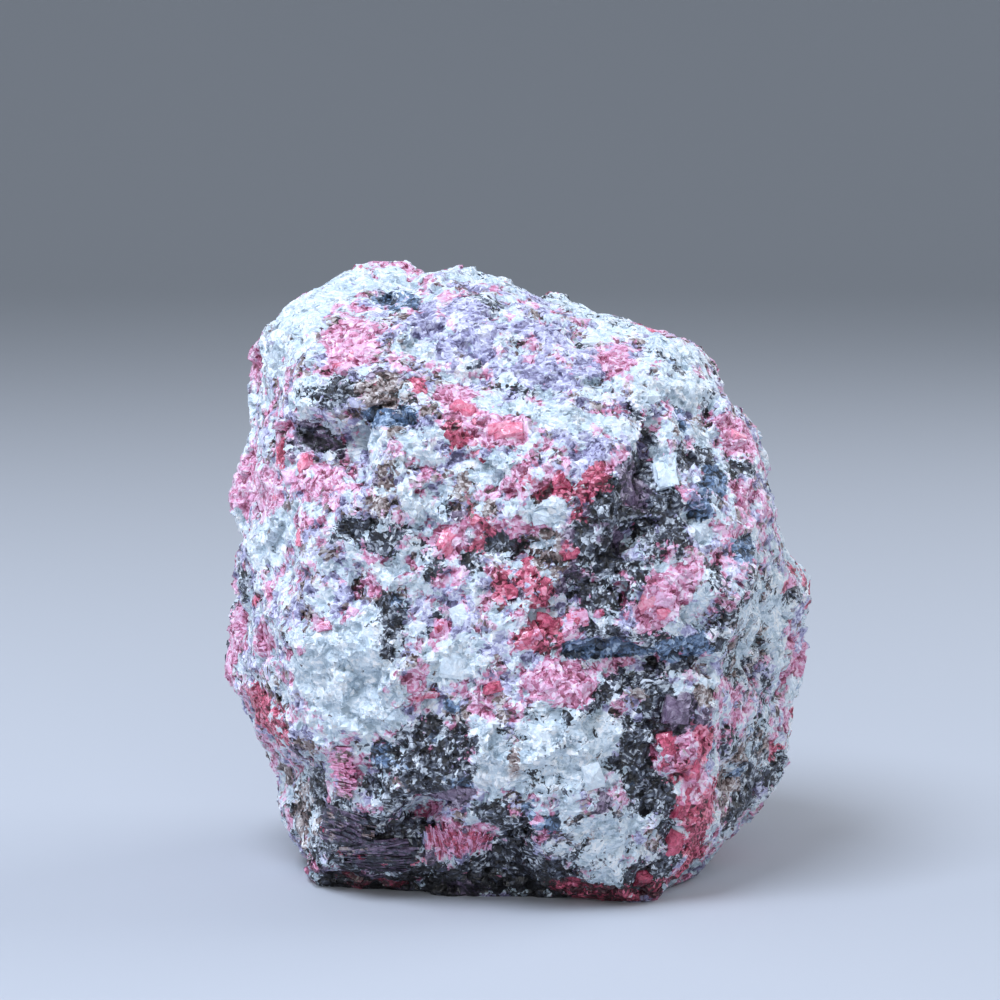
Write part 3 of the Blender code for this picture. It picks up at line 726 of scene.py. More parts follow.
# Crystals that stand out of the front: x, z, width, height and depth in mm, turn and lean right and up in
# degrees, and how light each is, from 0 for its darkest minerals to 1 for its lightest.
CRYSTALS = {
    "rhodonite_crystals": (
        (0.9, 26.6, 3.0, 2.5, 2.0, 24, -22, 8, 0.52), (3.6, 27.7, 2.6, 1.7, 2.0, -18, 18, 30, 0.34),
        (-6.2, 46.1, 1.7, 2.4, 1.6, 12, -10, -15, 0.30), (5.6, 35.0, 2.0, 2.8, 1.5, -14, 22, -4, 0.28),
        (-22.6, 44.4, 1.8, 2.0, 1.4, 20, -24, -10, 0.24), (-15.2, 54.4, 3.0, 1.8, 1.2, 8, -16, 34, 0.84),
        (-16.4, 52.9, 2.4, 1.3, 1.2, -12, -6, 20, 0.76), (-25.6, 20.6, 2.2, 3.2, 1.6, 36, -40, -18, 0.36),
        (-23.6, 17.7, 2.0, 3.0, 1.6, 40, -30, -22, 0.26), (5.9, 28.3, 2.0, 1.6, 1.2, 14, 8, 12, 0.68),
        (8.0, 29.0, 1.4, 1.1, 1.0, -8, 10, 16, 0.60), (16.3, 10.2, 2.0, 3.4, 1.5, -16, 26, 4, 0.42),
        (17.6, 13.6, 1.7, 2.6, 1.4, -20, 30, 6, 0.56), (15.6, 6.0, 1.8, 2.8, 1.4, -24, 24, -6, 0.34),
        (4.2, 41.6, 1.6, 1.8, 1.2, 20, 4, -10, 0.46), (7.6, 42.9, 1.7, 1.2, 1.0, 30, 12, 20, 0.62),
        (-7.3, 27.8, 1.4, 1.9, 1.0, 12, 0, 14, 0.66), (-8.7, 23.8, 1.0, 1.2, 0.8, 10, -4, 10, 0.74),
        (-20.9, 25.6, 1.3, 1.1, 0.8, 30, -14, 14, 0.78), (-18.7, 27.8, 1.7, 0.9, 0.8, 16, -8, 20, 0.76),
        (-15.9, 29.2, 1.1, 0.9, 0.8, -10, -4, 18, 0.82), (9.4, 53.0, 2.0, 1.2, 1.0, -30, 8, 40, 0.64),
        (3.2, 22.4, 2.2, 1.4, 1.2, 10, -4, 24, 0.80), (5.2, 20.6, 1.8, 1.3, 1.0, -12, 8, 14, 0.72),
        (-2.6, 21.6, 1.7, 1.0, 1.0, 14, -6, -12, 0.34), (26.3, 32.1, 1.2, 1.2, 0.8, 0, 50, 10, 0.66),
        (-24.0, 31.6, 1.3, 1.3, 0.8, 20, -40, 16, 0.68), (5.6, 3.0, 3.0, 1.6, 1.4, -8, 4, -30, 0.30),
        (12.8, 2.6, 2.6, 1.5, 1.4, -6, 18, -26, 0.34), (9.0, 2.1, 2.2, 1.3, 1.2, 4, 10, -30, 0.26),
        (-15.4, 2.7, 3.2, 1.2, 1.4, -4, -16, -34, 0.22), (-12.0, 2.2, 3.0, 1.1, 1.4, 3, -8, -36, 0.28),
        (-9.6, 51.2, 2.2, 0.9, 1.0, -26, -8, -8, 0.20), (1.2, 33.4, 1.8, 1.9, 1.2, 22, -4, -8, 0.30),
        (14.8, 15.4, 2.5, 3.5, 1.6, 12, 18, -6, 0.42), (-22.0, 42.2, 2.0, 1.3, 1.0, 14, -12, 20, 1.0),
        (14.2, 30.2, 2.2, 1.6, 1.0, -20, 16, 14, 0.95), (-25.4, 40.2, 1.6, 1.6, 1.0, -10, -20, 4, 0.85),
        (3.0, 31.6, 1.6, 1.6, 1.1, -20, 8, -14, 0.24), (-0.4, 31.2, 1.4, 1.5, 1.0, 12, -10, 6, 0.40),
    ),
    "coral_crystals": (
        (-1.1, 47.1, 3.3, 2.1, 1.6, 6, 6, 24, 1.6), (-5.4, 49.2, 2.9, 1.8, 1.5, -20, -8, 30, 1.5),
        (-3.6, 48.0, 1.9, 1.4, 1.2, 20, 10, 10, 1.7), (-24.8, 42.2, 2.8, 2.2, 1.2, 20, -24, 12, 1.8),
        (-23.2, 39.9, 2.0, 2.8, 1.2, -24, -16, 8, 1.6), (-27.1, 37.4, 1.2, 1.7, 0.9, 0, -40, 0, 1.4),
        (-6.9, 35.9, 2.1, 3.4, 1.6, -28, -16, 18, 1.5), (12.8, 30.4, 2.6, 2.1, 1.2, 28, 20, 22, 1.9),
        (14.4, 29.0, 1.8, 1.5, 1.0, 10, 14, 6, 1.7), (1.4, 42.4, 1.8, 1.5, 1.1, -14, -6, 12, 1.1),
        (-20.4, 43.8, 1.6, 1.9, 1.2, 30, -10, 16, 1.3), (-15.9, 54.0, 2.4, 1.4, 1.0, 8, -16, 34, 2.0),
        (21.4, 46.2, 2.2, 1.4, 1.0, -34, 34, 16, 1.8), (2.9, 28.4, 1.8, 1.3, 1.2, -10, 10, 20, 1.2),
    ),
    "feldspar_crystals": (
        (14.3, 42.6, 2.2, 2.8, 1.4, 8, 24, 10, 0.30), (-6.3, 24.3, 2.8, 3.2, 1.0, -8, -2, 12, 0.60),
        (26.8, 22.3, 1.6, 1.8, 1.2, 20, 56, 20, 0.90), (2.6, 38.4, 2.4, 1.6, 1.0, 12, 0, 16, 0.74),
        (-12.2, 18.8, 2.4, 1.4, 1.0, 20, -6, 10, 0.62), (12.8, 49.9, 2.6, 1.6, 1.2, -12, 16, 34, 0.80),
        (-5.6, 28.6, 1.8, 2.2, 0.9, 24, -2, 14, 0.72), (17.8, 37.2, 2.2, 1.8, 1.0, 30, 30, 24, 0.66),
        (7.2, 55.2, 2.6, 1.4, 1.0, -28, 8, 44, 0.84), (-20.4, 56.8, 3.4, 1.6, 1.0, 30, -26, 34, 0.86),
        (7.6, 13.0, 2.0, 2.6, 1.0, 10, 6, 6, 0.70), (2.0, 17.2, 2.6, 2.0, 1.0, -14, 0, 16, 0.76),
    ),
    "smoky_crystals": (
        # The crystal at x -11.8, z 48.2 is partly a painted blue reflection of the sky.
        (15.9, 19.6, 3.4, 3.6, 1.8, -8, 26, 4, 0.95), (-6.0, 11.0, 4.0, 2.2, 1.4, -10, -4, -14, 0.85),
        (5.4, 25.7, 5.0, 1.7, 1.2, 4, -2, -14, 0.10), (9.8, 25.5, 4.4, 1.8, 1.2, -6, 8, -20, 0.16),
        (-11.8, 48.2, 3.4, 1.3, 1.0, -4, -8, 26, 0.36), (10.9, 41.2, 1.6, 4.6, 1.2, 22, 40, -8, 0.80),
        (9.6, 36.4, 1.5, 3.6, 1.2, 30, 36, -10, 0.70),
    ),
}
CRYSTAL_CORNERS = 8  # broken corners on each layer, where they are cut and how far out
CRYSTAL_RISES = (0.1, 2.2)
CRYSTAL_REACHES = (0.30, 0.46)
CRYSTAL_LAYERS = 3  # cleaved layers that each crystal splits into
LAYER_SHRINK = 0.22  # how much smaller each is than the one below
LAYER_UNEVENNESS = (0.6, 1.2)  # times that, by chance
LAYER_RISE = 0.12  # how far it rises over that one's top, over the depth
LAYER_TONE = 0.06  # how much lighter or darker one layer is than another
CRYSTAL_LEAN = 0.4  # share of the stated leans that is left once a crystal follows the rock's face
CRYSTAL_PROUD = 0.08  # how much of its depth stands out of the rock

# Each piece of crystals: what it is made of, how glossy it is from fresh to dull, and the weight of its
# minerals at its darkest and lightest.
CRYSTAL_PIECES = {
    "rhodonite_crystals": (
        "Cleaved_rhodonite_crystal",  # flat, glossy steps from deep to light pink
        (0.14, 0.40),
        {"red": (1.5, 0.8), "rose": (0.5, 1.4)},
    ),
    "coral_crystals": (
        "Glassy_coral_rhodonite",  # clear and orange-pink where light gets in
        (0.10, 0.32),
        {"red": (1.5, 1.5), "rose": (0.7, 1.1)},
    ),
    "feldspar_crystals": (
        "Cleaved_feldspar_crystal",  # milky white steps
        (0.22, 0.50),
        {"white": (1.3, 1.5), "mauve": (0.8, 0.3)},
    ),
    "smoky_crystals": (
        "Glassy_smoky_crystal",  # dark, with sharp highlights
        (0.10, 0.34),
        {"slate": (1.5, 0.1), "plum": (0.5, 1.6)},
    ),
    "pink_blades": (
        "Splintered_pink_rhodonite",  # a silky sheaf of pink needles
        (0.26, 0.55),
        {"red": (0.8, 0.5), "rose": (0.5, 0.9), "plum": (0.7, 0.4), "mauve": (0.2, 0.6)},
    ),
    "dusky_plates": (
        "Foliated_dark_rhodonite",  # thin dark plates with pink between them
        (0.30, 0.60),
        {"black": (1.15, 0.5), "umber": (0.5, 0.95), "red": (0.72, 0.5), "plum": (1.0, 0.9)},
    ),
    "rosy_plates": (
        "Foliated_pink_rhodonite",  # thin pale plates, edge on
        (0.28, 0.58),
        {"rose": (0.7, 1.0), "umber": (0.8, 0.3), "mauve": (0.5, 0.7)},
    ),
}
CRYSTAL_BASE = (0.1, 0.1)  # the same for every other mineral

# Sheaves of splinters and plates: x and z, how wide the sheaf is across them and along them, then each one's
# size along, across and into the rock, all in mm, the way that they run in degrees, and how many there are.
SHEAVES = (
    ("pink_blades", (-5.6, 6.6, 6.4, 4.6), (3.6, 0.24, 0.6), 88, 230),
    ("dusky_plates", (-16.6, 8.0, 3.4, 7.4), (4.4, 0.28, 0.6), -8, 130),
    ("dusky_plates", (-13.4, 5.2, 3.0, 8.4), (4.4, 0.26, 0.6), 3, 130),
    ("rosy_plates", (-16.8, 13.4, 5.0, 3.6), (2.4, 0.24, 0.6), 4, 110),
)
LEAST_ROOM = 0.2  # of a sheaf's length, for its splinters to start in
BLADE_SIZES = ((0.5, 0.7, 0.7), (1.1, 1.4, 1.2))  # the smallest and the largest, over the stated size
BLADE_TURN = 3  # degrees, how far one may run from its neighbours' way
BLADE_LEANS = (2, 3)  # degrees, right and up
BLADE_PROUD = (-0.04, 0.12)  # how much of its depth stands out of the rock
BLADE_LIGHTEST = 0.8


def crystal_values(name, light, rng):
    """Tone values and mineral weights of a crystal."""
    mixed = CRYSTAL_PIECES[name][2]
    weights = [np.interp(light, (0, 1), mixed.get(mineral, CRYSTAL_BASE)) for mineral in MINERALS]
    return np.array([[light, rng.uniform(), rng.uniform(), *weights]])


def facing_frame(out, turn, lean_right, lean_up):
    """Rows of right, up and outward for a crystal on a face that looks along out."""
    side = Vector((0, 0, 1)).cross(out).normalized()
    rise = out.cross(side)
    upright = Matrix((side, rise, out)).transposed()
    right, up = math.radians(lean_right), math.radians(-lean_up)
    tipped = Matrix.Rotation(right, 3, "Y") @ Matrix.Rotation(up, 3, "X")
    turned = Matrix.Rotation(math.radians(turn), 3, "Z")
    return np.array((upright @ tipped @ turned).transposed())


def layered_crystal(rng, name, at, frame_rows, size, light):
    """Batches of one crystal: cleaved layers that share a direction and step back one behind another."""
    for layer in range(CRYSTAL_LAYERS):
        block, triangles = cleaved_block(rng, CRYSTAL_CORNERS, False, CRYSTAL_RISES, CRYSTAL_REACHES)
        local = block * size * (1 - LAYER_SHRINK * layer * rng.uniform(*LAYER_UNEVENNESS, 3))
        local[:, :2] += rng.uniform(-0.5, 0.5, 2) * LAYER_SHRINK * size[:2] * layer
        local[:, 2] += size[2] * (CRYSTAL_PROUD - 0.5 + LAYER_RISE * layer)
        values = crystal_values(name, light + rng.normal(0, LAYER_TONE), rng)
        yield (np.array(at) + local @ frame_rows)[None], triangles, values, np.ones(len(block))


def sheaf(rng, survey, name, spot, blade, way, count):
    """Batches of a sheaf: splinters side by side that all run one way."""
    x, z, across, along = spot
    c = math.cos(math.radians(way))
    s = math.sin(math.radians(way))
    room = max(along - blade[0], LEAST_ROOM * along)
    for _ in range(count):
        around = rng.uniform(0, 2 * math.pi)
        reach = math.sqrt(rng.uniform()) / 2
        u = reach * math.cos(around) * room
        v = reach * math.sin(around) * across
        at = survey.place(x + u * c - v * s, z + u * s + v * c)
        block, triangles = cleaved_block(rng, 1)
        size = np.array(blade) * rng.uniform(*BLADE_SIZES)
        turn = way + rng.normal(0, BLADE_TURN)
        rows = facing_frame(survey.outward(at), turn, *rng.normal(0, BLADE_LEANS))
        local = block * size
        local[:, 2] += size[2] * (rng.uniform(*BLADE_PROUD) - 0.5)
        values = crystal_values(name, rng.uniform(0, BLADE_LIGHTEST), rng)
        yield (np.array(at) + local @ rows)[None], triangles, values, block[:, 2] + 0.5


# ---- materials ----------------------------------------------------------------------------------

# Each mineral's deep, middle, pale and glinting tones. The settings hold the middle one. The glinting tone is
# a painted highlight: pale flecks that stand in for glints, partly real pale grains.
SHADES = {
    # The cool blue of the white and mauve tones is partly the minerals' own and partly painted sky light.
    "white": ("#b2c3cf", "#d4e3ee", "#e5eff6", "#ffffff"),
    "rose": ("#8a3c58", "#dc88ac", "#f1c0df", "#fdeaf6"),
    "red": ("#3a111b", "#9a354e", "#e46f8c", "#fbb3c9"),
    "black": ("#070508", "#1d1c25", "#525868", "#dfe7f0"),
    "mauve": ("#655f80", "#a5a1c8", "#cdcdea", "#f1f2ff"),
    # Slate's pale and glinting tones are partly a painted blue reflection of the sky.
    "slate": ("#18212d", "#3b4b60", "#6d88ad", "#bdd2ea"),
    "umber": ("#20140f", "#6f5854", "#ab9b99", "#e8e2e1"),
    "plum": ("#17121d", "#40344a", "#7f6c86", "#c9bccf"),
}
TONE_PLACES = (0.0, 0.33, 0.62, 1.0)
# The roughness of each mineral's freshest and dullest faces.
GLOSS = {
    "white": (0.28, 0.60),
    "rose": (0.25, 0.55),
    "red": (0.16, 0.50),
    "black": (0.16, 0.55),
    "mauve": (0.25, 0.60),
    "umber": (0.40, 0.75),
}
ROCK_IOR = 1.62  # between feldspar's 1.53 and rhodonite's 1.73
TRANSLUCENT = 0.25
LIGHT_DEPTH_MM = 0.35  # how far light reaches into a crystal
LIGHT_REDNESS = (1.0, 0.9, 0.9)  # red light reaches further

# The mosaic: blocks cleaved about COARSE_MM across, splinters FINE_MM across, and clouding CLOUD_MM across.
COARSE_MM = 1.05
FINE_MM = 0.25  # real splinters get finer still, and are drawn as coarse as it takes to show
SPLINTER_STRETCH = (1.0, 0.85, 0.36)  # splinters are longer along the way their block cleaves
CLOUD_MM = 2.3
CLOUD_ROUGHNESS = 0.62
VEIL_MM = 0.7  # a thin veil over the tones, which also roughens the faces
VEIL_ROUGHNESS = 0.65
WANDER_LENGTH_MM = 0.7  # over this length the seams between blocks
WANDER_MM = 0.55  # wander by this much
# Which way chance has to fall for each mineral to show: along x from light to dark, along y from grey to red.
CHANCE_WAYS = {
    "white": (-0.75, -0.15, 0.65),
    "rose": (-0.40, 0.90, 0.20),
    "red": (0.35, 0.93, -0.10),
    "black": (0.95, -0.20, 0.20),
    "mauve": (-0.45, -0.45, -0.75),
    "slate": (0.40, -0.80, 0.40),
    "umber": (0.75, 0.10, -0.65),
    "plum": (0.60, 0.25, 0.75),
}
# Chance by block, by splinter and by clouding, each along x, y and z.
MOSAIC_SHARES = ((0.40, 0.14, 0.14), (0.30, 0.07, 0.07), (1.2, 1.7, 1.7))
VEIN_WIDTH = 0.028  # how much of the clouding turns into thin dark veins
VEIN_SHARE = 0.9  # how much they add to the dark mineral, over its own weight
SEAM = 0.09  # how softly one mineral passes into the next
CREVICE_SHADE = 2.2  # painted shade: how much darker the rock is painted down the sides of grains and in hollows
DARKEST_CREVICE_SHADE = -0.6
TONE_SHARES = (0.42, 0.70, 0.75, 0.26)  # of blocks, splinters, veil and a whole grain in how light it is
FACE_LEANS = (0.38, 0.34)  # how far the faces of blocks and splinters lean
BUMP_STRENGTH = 0.6
BUMP_MM = 0.35
CRYSTAL_BROKEN = 0.36  # how much of the blocks, splinters and bumps is left in a larger crystal

# A small stain of iron rust.
RUST = "#8c4f34"
RUST_PLACE = (-0.3, -23.2, 14.4)  # mm
RUST_REACH = (0.2, 1.15)  # mm, from where it is full to where it is gone
RUST_WANDER = 1.8  # mm, how far its edge wanders
RUST_FULL = 0.85


def mineral_tones(mineral, tones):
    """The four tones of a mineral, from deep to a painted glint, with the middle one from the settings."""
    deep, _, pale, painted_glint = (linear(tone) for tone in SHADES[mineral])
    return deep, list(getattr(tones, mineral)) + [1.0], pale, painted_glint


def mineral_weights(add, clouds):
    """Each mineral's weight where the pieces' attributes give it, with dark veins through the clouding."""
    weights = []
    for attribute in ("minerals", "more_minerals"):
        source = add("Attribute", attribute_name=attribute)
        weights += add("SeparateColor", (source,)).outputs[:3] + [source.outputs["Alpha"]]
    parts = add("SeparateColor", (clouds.outputs["Color"],))
    off_middle = add("Math", (parts.outputs["Green"], MIDDLING), operation="SUBTRACT")
    off_vein = add("Math", (off_middle,), operation="ABSOLUTE")
    fade = {"Value": off_vein, "From Max": VEIN_WIDTH, "To Min": 1.0, "To Max": 0.0}
    vein = add("MapRange", fade)
    dark = MINERALS.index("black")
    in_vein = add("Math", (vein, weights[dark]), operation="MULTIPLY")
    weights[dark] = add("Math", (in_vein, VEIN_SHARE, weights[dark]), operation="MULTIPLY_ADD")
    return weights


def mosaic_tone(add, blocks, splinters, veil, broken):
    """How light the rock is: by block, splinter, veil and grain, with painted shade down in crevices, in
    hollows and near the ground.
    """
    grain = add("Attribute", attribute_name="grain")
    sources = (
        add("TexWhiteNoise", {"Vector": blocks.outputs["Position"]}),
        add("TexWhiteNoise", {"Vector": splinters.outputs["Position"]}),
        veil,
        add("SeparateColor", (grain,)),
    )
    by_block, by_splinter, by_veil, by_grain = TONE_SHARES
    shares = (broken * by_block, broken * by_splinter, by_veil, by_grain)
    tone = MIDDLING * (1 - sum(shares))
    for source, share in zip(sources, shares):
        tone = add("Math", (source, share, tone), operation="MULTIPLY_ADD")
    # Painted shade: lower on a grain, down in a hollow and near the ground the rock is painted darker.
    below_top = add("Math", (grain.outputs["Alpha"], 1.0), operation="SUBTRACT")
    crevice_shade = add("Math", (below_top, CREVICE_SHADE), operation="MULTIPLY")
    crevice_shade = add("Math", (crevice_shade, DARKEST_CREVICE_SHADE), operation="MAXIMUM")
    return add("Math", (tone, crevice_shade), operation="ADD")


def mosaic_colour(add, weights, chance, tone, tones):
    """The colour of the mineral whose weight, with its share of chance, is the greatest."""
    best = colour = None
    for mineral, weight in zip(MINERALS, weights):
        own_chance = add("VectorMath", (chance, CHANCE_WAYS[mineral]), operation="DOT_PRODUCT")
        score = add("Math", (own_chance.outputs["Value"], weight), operation="ADD")
        look = add("ValToRGB", (tone,), list(zip(TONE_PLACES, mineral_tones(mineral, tones))))
        if best is None:
            best, colour = score, look
            continue
        ahead = add("Math", (score, best), operation="SUBTRACT")
        seam = {"Value": ahead, "From Min": -SEAM, "From Max": SEAM}
        wins = add("MapRange", seam, interpolation_type="SMOOTHSTEP")
        mixed = add("Mix", {"Factor": wins, "A": colour, "B": look}, data_type="RGBA")
        colour = mixed.outputs["Result"]
        best = add("Math", (score, best), operation="MAXIMUM")
    return colour


def rusted(add, colour, place, veil):
    """The colour with its stain of rust, whose edge wanders with the veil."""
    away = add("VectorMath", (place, tuple(value * MM for value in RUST_PLACE)), operation="DISTANCE")
    wander = add("Math", (veil, MIDDLING), operation="SUBTRACT")
    edge = add("Math", (wander, RUST_WANDER * MM, away.outputs["Value"]), operation="MULTIPLY_ADD")
    full, gone = (reach * MM for reach in RUST_REACH)
    fade = {"Value": edge, "From Min": full, "From Max": gone, "To Min": RUST_FULL, "To Max": 0.0}
    mix = {"Factor": add("MapRange", fade), "A": colour, "B": linear(RUST)}
    return add("Mix", mix, data_type="RGBA", blend_type="MULTIPLY").outputs["Result"]


def rock_material(name, tones, gloss, broken=1.0):
    """Rhodonite rock as it breaks: a mosaic of cleaved minerals, each face with its own lean, tone and gloss.

    A larger crystal is less broken than the rest, and light reaches into it.
    """
    material = bpy.data.materials.new(name)
    material.use_nodes = True
    tree = material.node_tree
    shader = tree.nodes["Principled BSDF"]
    shader.inputs["IOR"].default_value = ROCK_IOR
    if broken < 1:
        shader.subsurface_method = "BURLEY"
        shader.inputs["Subsurface Weight"].default_value = TRANSLUCENT
        shader.inputs["Subsurface Radius"].default_value = LIGHT_REDNESS
        shader.inputs["Subsurface Scale"].default_value = LIGHT_DEPTH_MM * MM

    # Blocks with wandering seams, splinters that each run as their block is turned, clouding and veil.
    add = partial(add_node, tree)
    place = add("TexCoord").outputs["Object"]
    wandering = {"Vector": place, "Scale": 1 / (WANDER_LENGTH_MM * MM), "Detail": 2.0}
    wander = add("TexNoise", wandering).outputs["Color"]
    shifted = add("VectorMath", (wander, (WANDER_MM * MM,) * 3, place), operation="MULTIPLY_ADD")
    blocks = add("TexVoronoi", {"Vector": shifted, "Scale": 1 / (COARSE_MM * MM)})
    turn = add("VectorMath", (blocks.outputs["Color"], (2 * math.pi,) * 3), operation="MULTIPLY")
    turned = add("VectorRotate", {"Vector": shifted, "Rotation": turn}, rotation_type="EULER_XYZ")
    stretched = add("VectorMath", (turned, SPLINTER_STRETCH), operation="MULTIPLY")
    splinters = add("TexVoronoi", {"Vector": stretched, "Scale": 1 / (FINE_MM * MM)})
    cloudy = {"Vector": place, "Scale": 1 / (CLOUD_MM * MM), "Detail": 3.0, "Roughness": CLOUD_ROUGHNESS}
    clouds = add("TexNoise", cloudy)
    veiled = {"Vector": place, "Scale": 1 / (VEIL_MM * MM), "Detail": 3.0, "Roughness": VEIL_ROUGHNESS}
    veil = add("TexNoise", veiled)

    middle = (MIDDLING,) * 3
    chance = (0.0, 0.0, 0.0)
    for source, share in zip((blocks, splinters, clouds), MOSAIC_SHARES):
        off_middle = add("VectorMath", (source.outputs["Color"], middle), operation="SUBTRACT")
        chance = add("VectorMath", (off_middle, share, chance), operation="MULTIPLY_ADD")
    tone = mosaic_tone(add, blocks, splinters, veil, broken)
    colour = mosaic_colour(add, mineral_weights(add, clouds), chance, tone, tones)
    tree.links.new(rusted(add, colour, place, veil), shader.inputs["Base Color"])

    fresh, dull = gloss
    random = add("SeparateColor", (splinters.outputs["Color"],)).outputs["Green"]
    roughness = add("MapRange", {"Value": random, "To Min": fresh, "To Max": dull})
    tree.links.new(roughness.outputs["Result"], shader.inputs["Roughness"])

    # Each block and each splinter is a face of its own.
    facing = add("NewGeometry").outputs["Normal"]
    for cells, lean in zip((blocks, splinters), FACE_LEANS):
        own_lean = add("VectorMath", (cells.outputs["Color"], middle), operation="SUBTRACT")
        facing = add("VectorMath", (own_lean, (2 * lean * broken,) * 3, facing), operation="MULTIPLY_ADD")
    facing = add("VectorMath", (facing,), operation="NORMALIZE")
    bumps = {"Height": veil, "Strength": BUMP_STRENGTH * broken, "Distance": BUMP_MM * MM, "Normal": facing}
    tree.links.new(add("Bump", bumps).outputs["Normal"], shader.inputs["Normal"])
    return material


# ---- the studio ---------------------------------------------------------------------------------

CAMERA_PLACE = (-0.0016, -0.290, 0.0733)
CAMERA_DOWN = 7.0  # degrees
CAMERA_LENS = 103.6  # mm
CAMERA_NEAREST = 0.01  # m
FLOOR_FLAT = 1.2  # m, the floor's flat part
FLOOR_RISE = 1.0  # m, the curve behind it
FLOOR_STEPS = (16, 64)  # up the curve and around
PAPER_ROUGHNESS = 0.9
# The soft lights: place and width in m, the setting that holds its power, its share of that, and its colour.
PANELS = {
    "sky_panel": ((-0.20, -0.22, 0.55), 0.28, "key", 1.0, "#dfebff"),
    "front_panel": ((0.05, -0.75, 0.30), 0.5, "fill", 1.0, "#ffffff"),
    "right_panel": ((0.50, 0.16, 0.34), 0.4, "rim", 1.0, "#f2f6ff"),
    "left_panel": ((-0.55, 0.08, 0.24), 0.4, "rim", 0.6, "#f2f6ff"),
}
LIT_PLACE = Vector((0, 0, 0.03))
AIR_TONE = "#dfe7f0"
AIR_STRENGTH = 0.44


def sweep_floor(tone):
    """A wide round floor that curves up into a wall, as one sheet of studio paper does."""
    up, around = FLOOR_STEPS
    bm = bmesh.new()
    start = bm.verts.new((FLOOR_FLAT, 0, 0))
    centre = bm.verts.new((0, 0, 0))
    curve = {"axis": (0, 1, 0), "cent": (FLOOR_FLAT, 0, FLOOR_RISE), "angle": -math.pi / 2, "steps": up}
    bmesh.ops.spin(bm, geom=[start], **curve)
    bm.edges.new((centre, start))
    circle = {"axis": (0, 0, 1), "cent": (0, 0, 0), "angle": 2 * math.pi, "steps": around, "use_merge": True}
    bmesh.ops.spin(bm, geom=bm.verts[:] + bm.edges[:], **circle)
    bmesh.ops.remove_doubles(bm, verts=bm.verts, dist=1e-5)
    bmesh.ops.recalc_face_normals(bm, faces=bm.faces)
    mesh = bpy.data.meshes.new("floor")
    bm.to_mesh(mesh)
    bm.free()
    mesh.shade_smooth()
    # Uncoated paper: matt, so that it shows soft shadows and no highlight.
    paper = bpy.data.materials.new("Studio_paper")
    paper.use_nodes = True
    shader = paper.node_tree.nodes["Principled BSDF"]
    shader.inputs["Base Color"].default_value = list(tone) + [1.0]
    shader.inputs["Roughness"].default_value = PAPER_ROUGHNESS
    mesh.materials.append(paper)
    return placed("floor", mesh)


def panel_light(name, place, size, power, tone):
    """A square soft light that looks at the rock."""
    light = bpy.data.lights.new(name, "AREA")
    light.size = size
    light.energy = power
    light.color = linear(tone)[:3]
    lamp = placed(name, light)
    lamp.location = place
    lamp.rotation_euler = (LIT_PLACE - Vector(place)).to_track_quat("-Z", "Y").to_euler()


# ---- settings -----------------------------------------------------------------------------------


def tone_property(label, mineral, text):
    """A setting for the middle tone of a mineral."""
    default = linear(SHADES[mineral][1])[:3]
    return FloatVectorProperty(
        name=label, description=text, subtype="COLOR", size=3, min=0.0, max=1.0, default=default
    )


class RHODONITE_tones(bpy.types.PropertyGroup):
    """The middle tone of each mineral."""

    # The cool blue of feldspar and of the fine mixture is partly painted sky light, and the blue of the slip
    # faces partly a painted reflection of the sky.
    white: tone_property("Feldspar", "white", "Milky white feldspar and quartz")
    rose: tone_property("Fresh rhodonite", "rose", "Freshly broken pink rhodonite")
    red: tone_property("Deep rhodonite", "red", "Thick, glassy red rhodonite")
    black: tone_property("Amphibole", "black", "Black amphibole with manganese oxide")
    mauve: tone_property("Fine mixture", "mauve", "Fine mixture of rhodonite and feldspar")
    slate: tone_property("Slip face", "slate", "Smooth blue-grey slip faces")
    umber: tone_property("Weathered rock", "umber", "Brown-grey weathered rock")
    plum: tone_property("Smoky quartz", "plum", "Glassy, violet smoky quartz")


class RHODONITE_grains(bpy.types.PropertyGroup):
    """The grains that cover the rock."""

    seed: IntProperty(
        name="Seed", description="Number that the grains' places come from", default=SEED, min=0
    )


class RHODONITE_studio(bpy.types.PropertyGroup):
    """The floor and the lights."""

    floor: FloatVectorProperty(
        name="Floor",
        description="Colour of the floor",
        subtype="COLOR",
        size=3,
        default=linear("#bcc0c7")[:3],
    )
    key: FloatProperty(
        name="Sky panel", description="Power of the overhead light", default=3.45, min=0.0, unit="POWER"
    )
    rim: FloatProperty(
        name="Side panels", description="Power of the side lights", default=1.6, min=0.0, unit="POWER"
    )
    fill: FloatProperty(
        name="Front panel", description="Power of the light in front", default=1.3, min=0.0, unit="POWER"
    )


# ---- operators ----------------------------------------------------------------------------------


class RHODONITE_OT_skin(bpy.types.Operator):
    """Break the rock's solid into a fine skin and map its minerals"""

    bl_idname = "rhodonite.skin"
    bl_label = "Break the Skin"

    def execute(self, context):
        survey = Survey(mesh_copy(NODE))
        skin = make_skin()
        store_minerals(skin.data, survey.minerals(mesh_vectors(skin.data) / MM))
        # The last value of these rows carries the painted shade of hollows and of the foot.
        store(skin.data, "grain", skin_shades(skin.data))
        skin.data.shade_smooth()
        skin.data.set_sharp_from_angle(angle=math.radians(CREASE))
        tones = context.scene.rhodonite_tones
        skin.data.materials.append(rock_material("Broken_rhodonite_rock", tones, GLOSS["mauve"]))
        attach(skin, BODY)
        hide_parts(NODE)
        return {"FINISHED"}


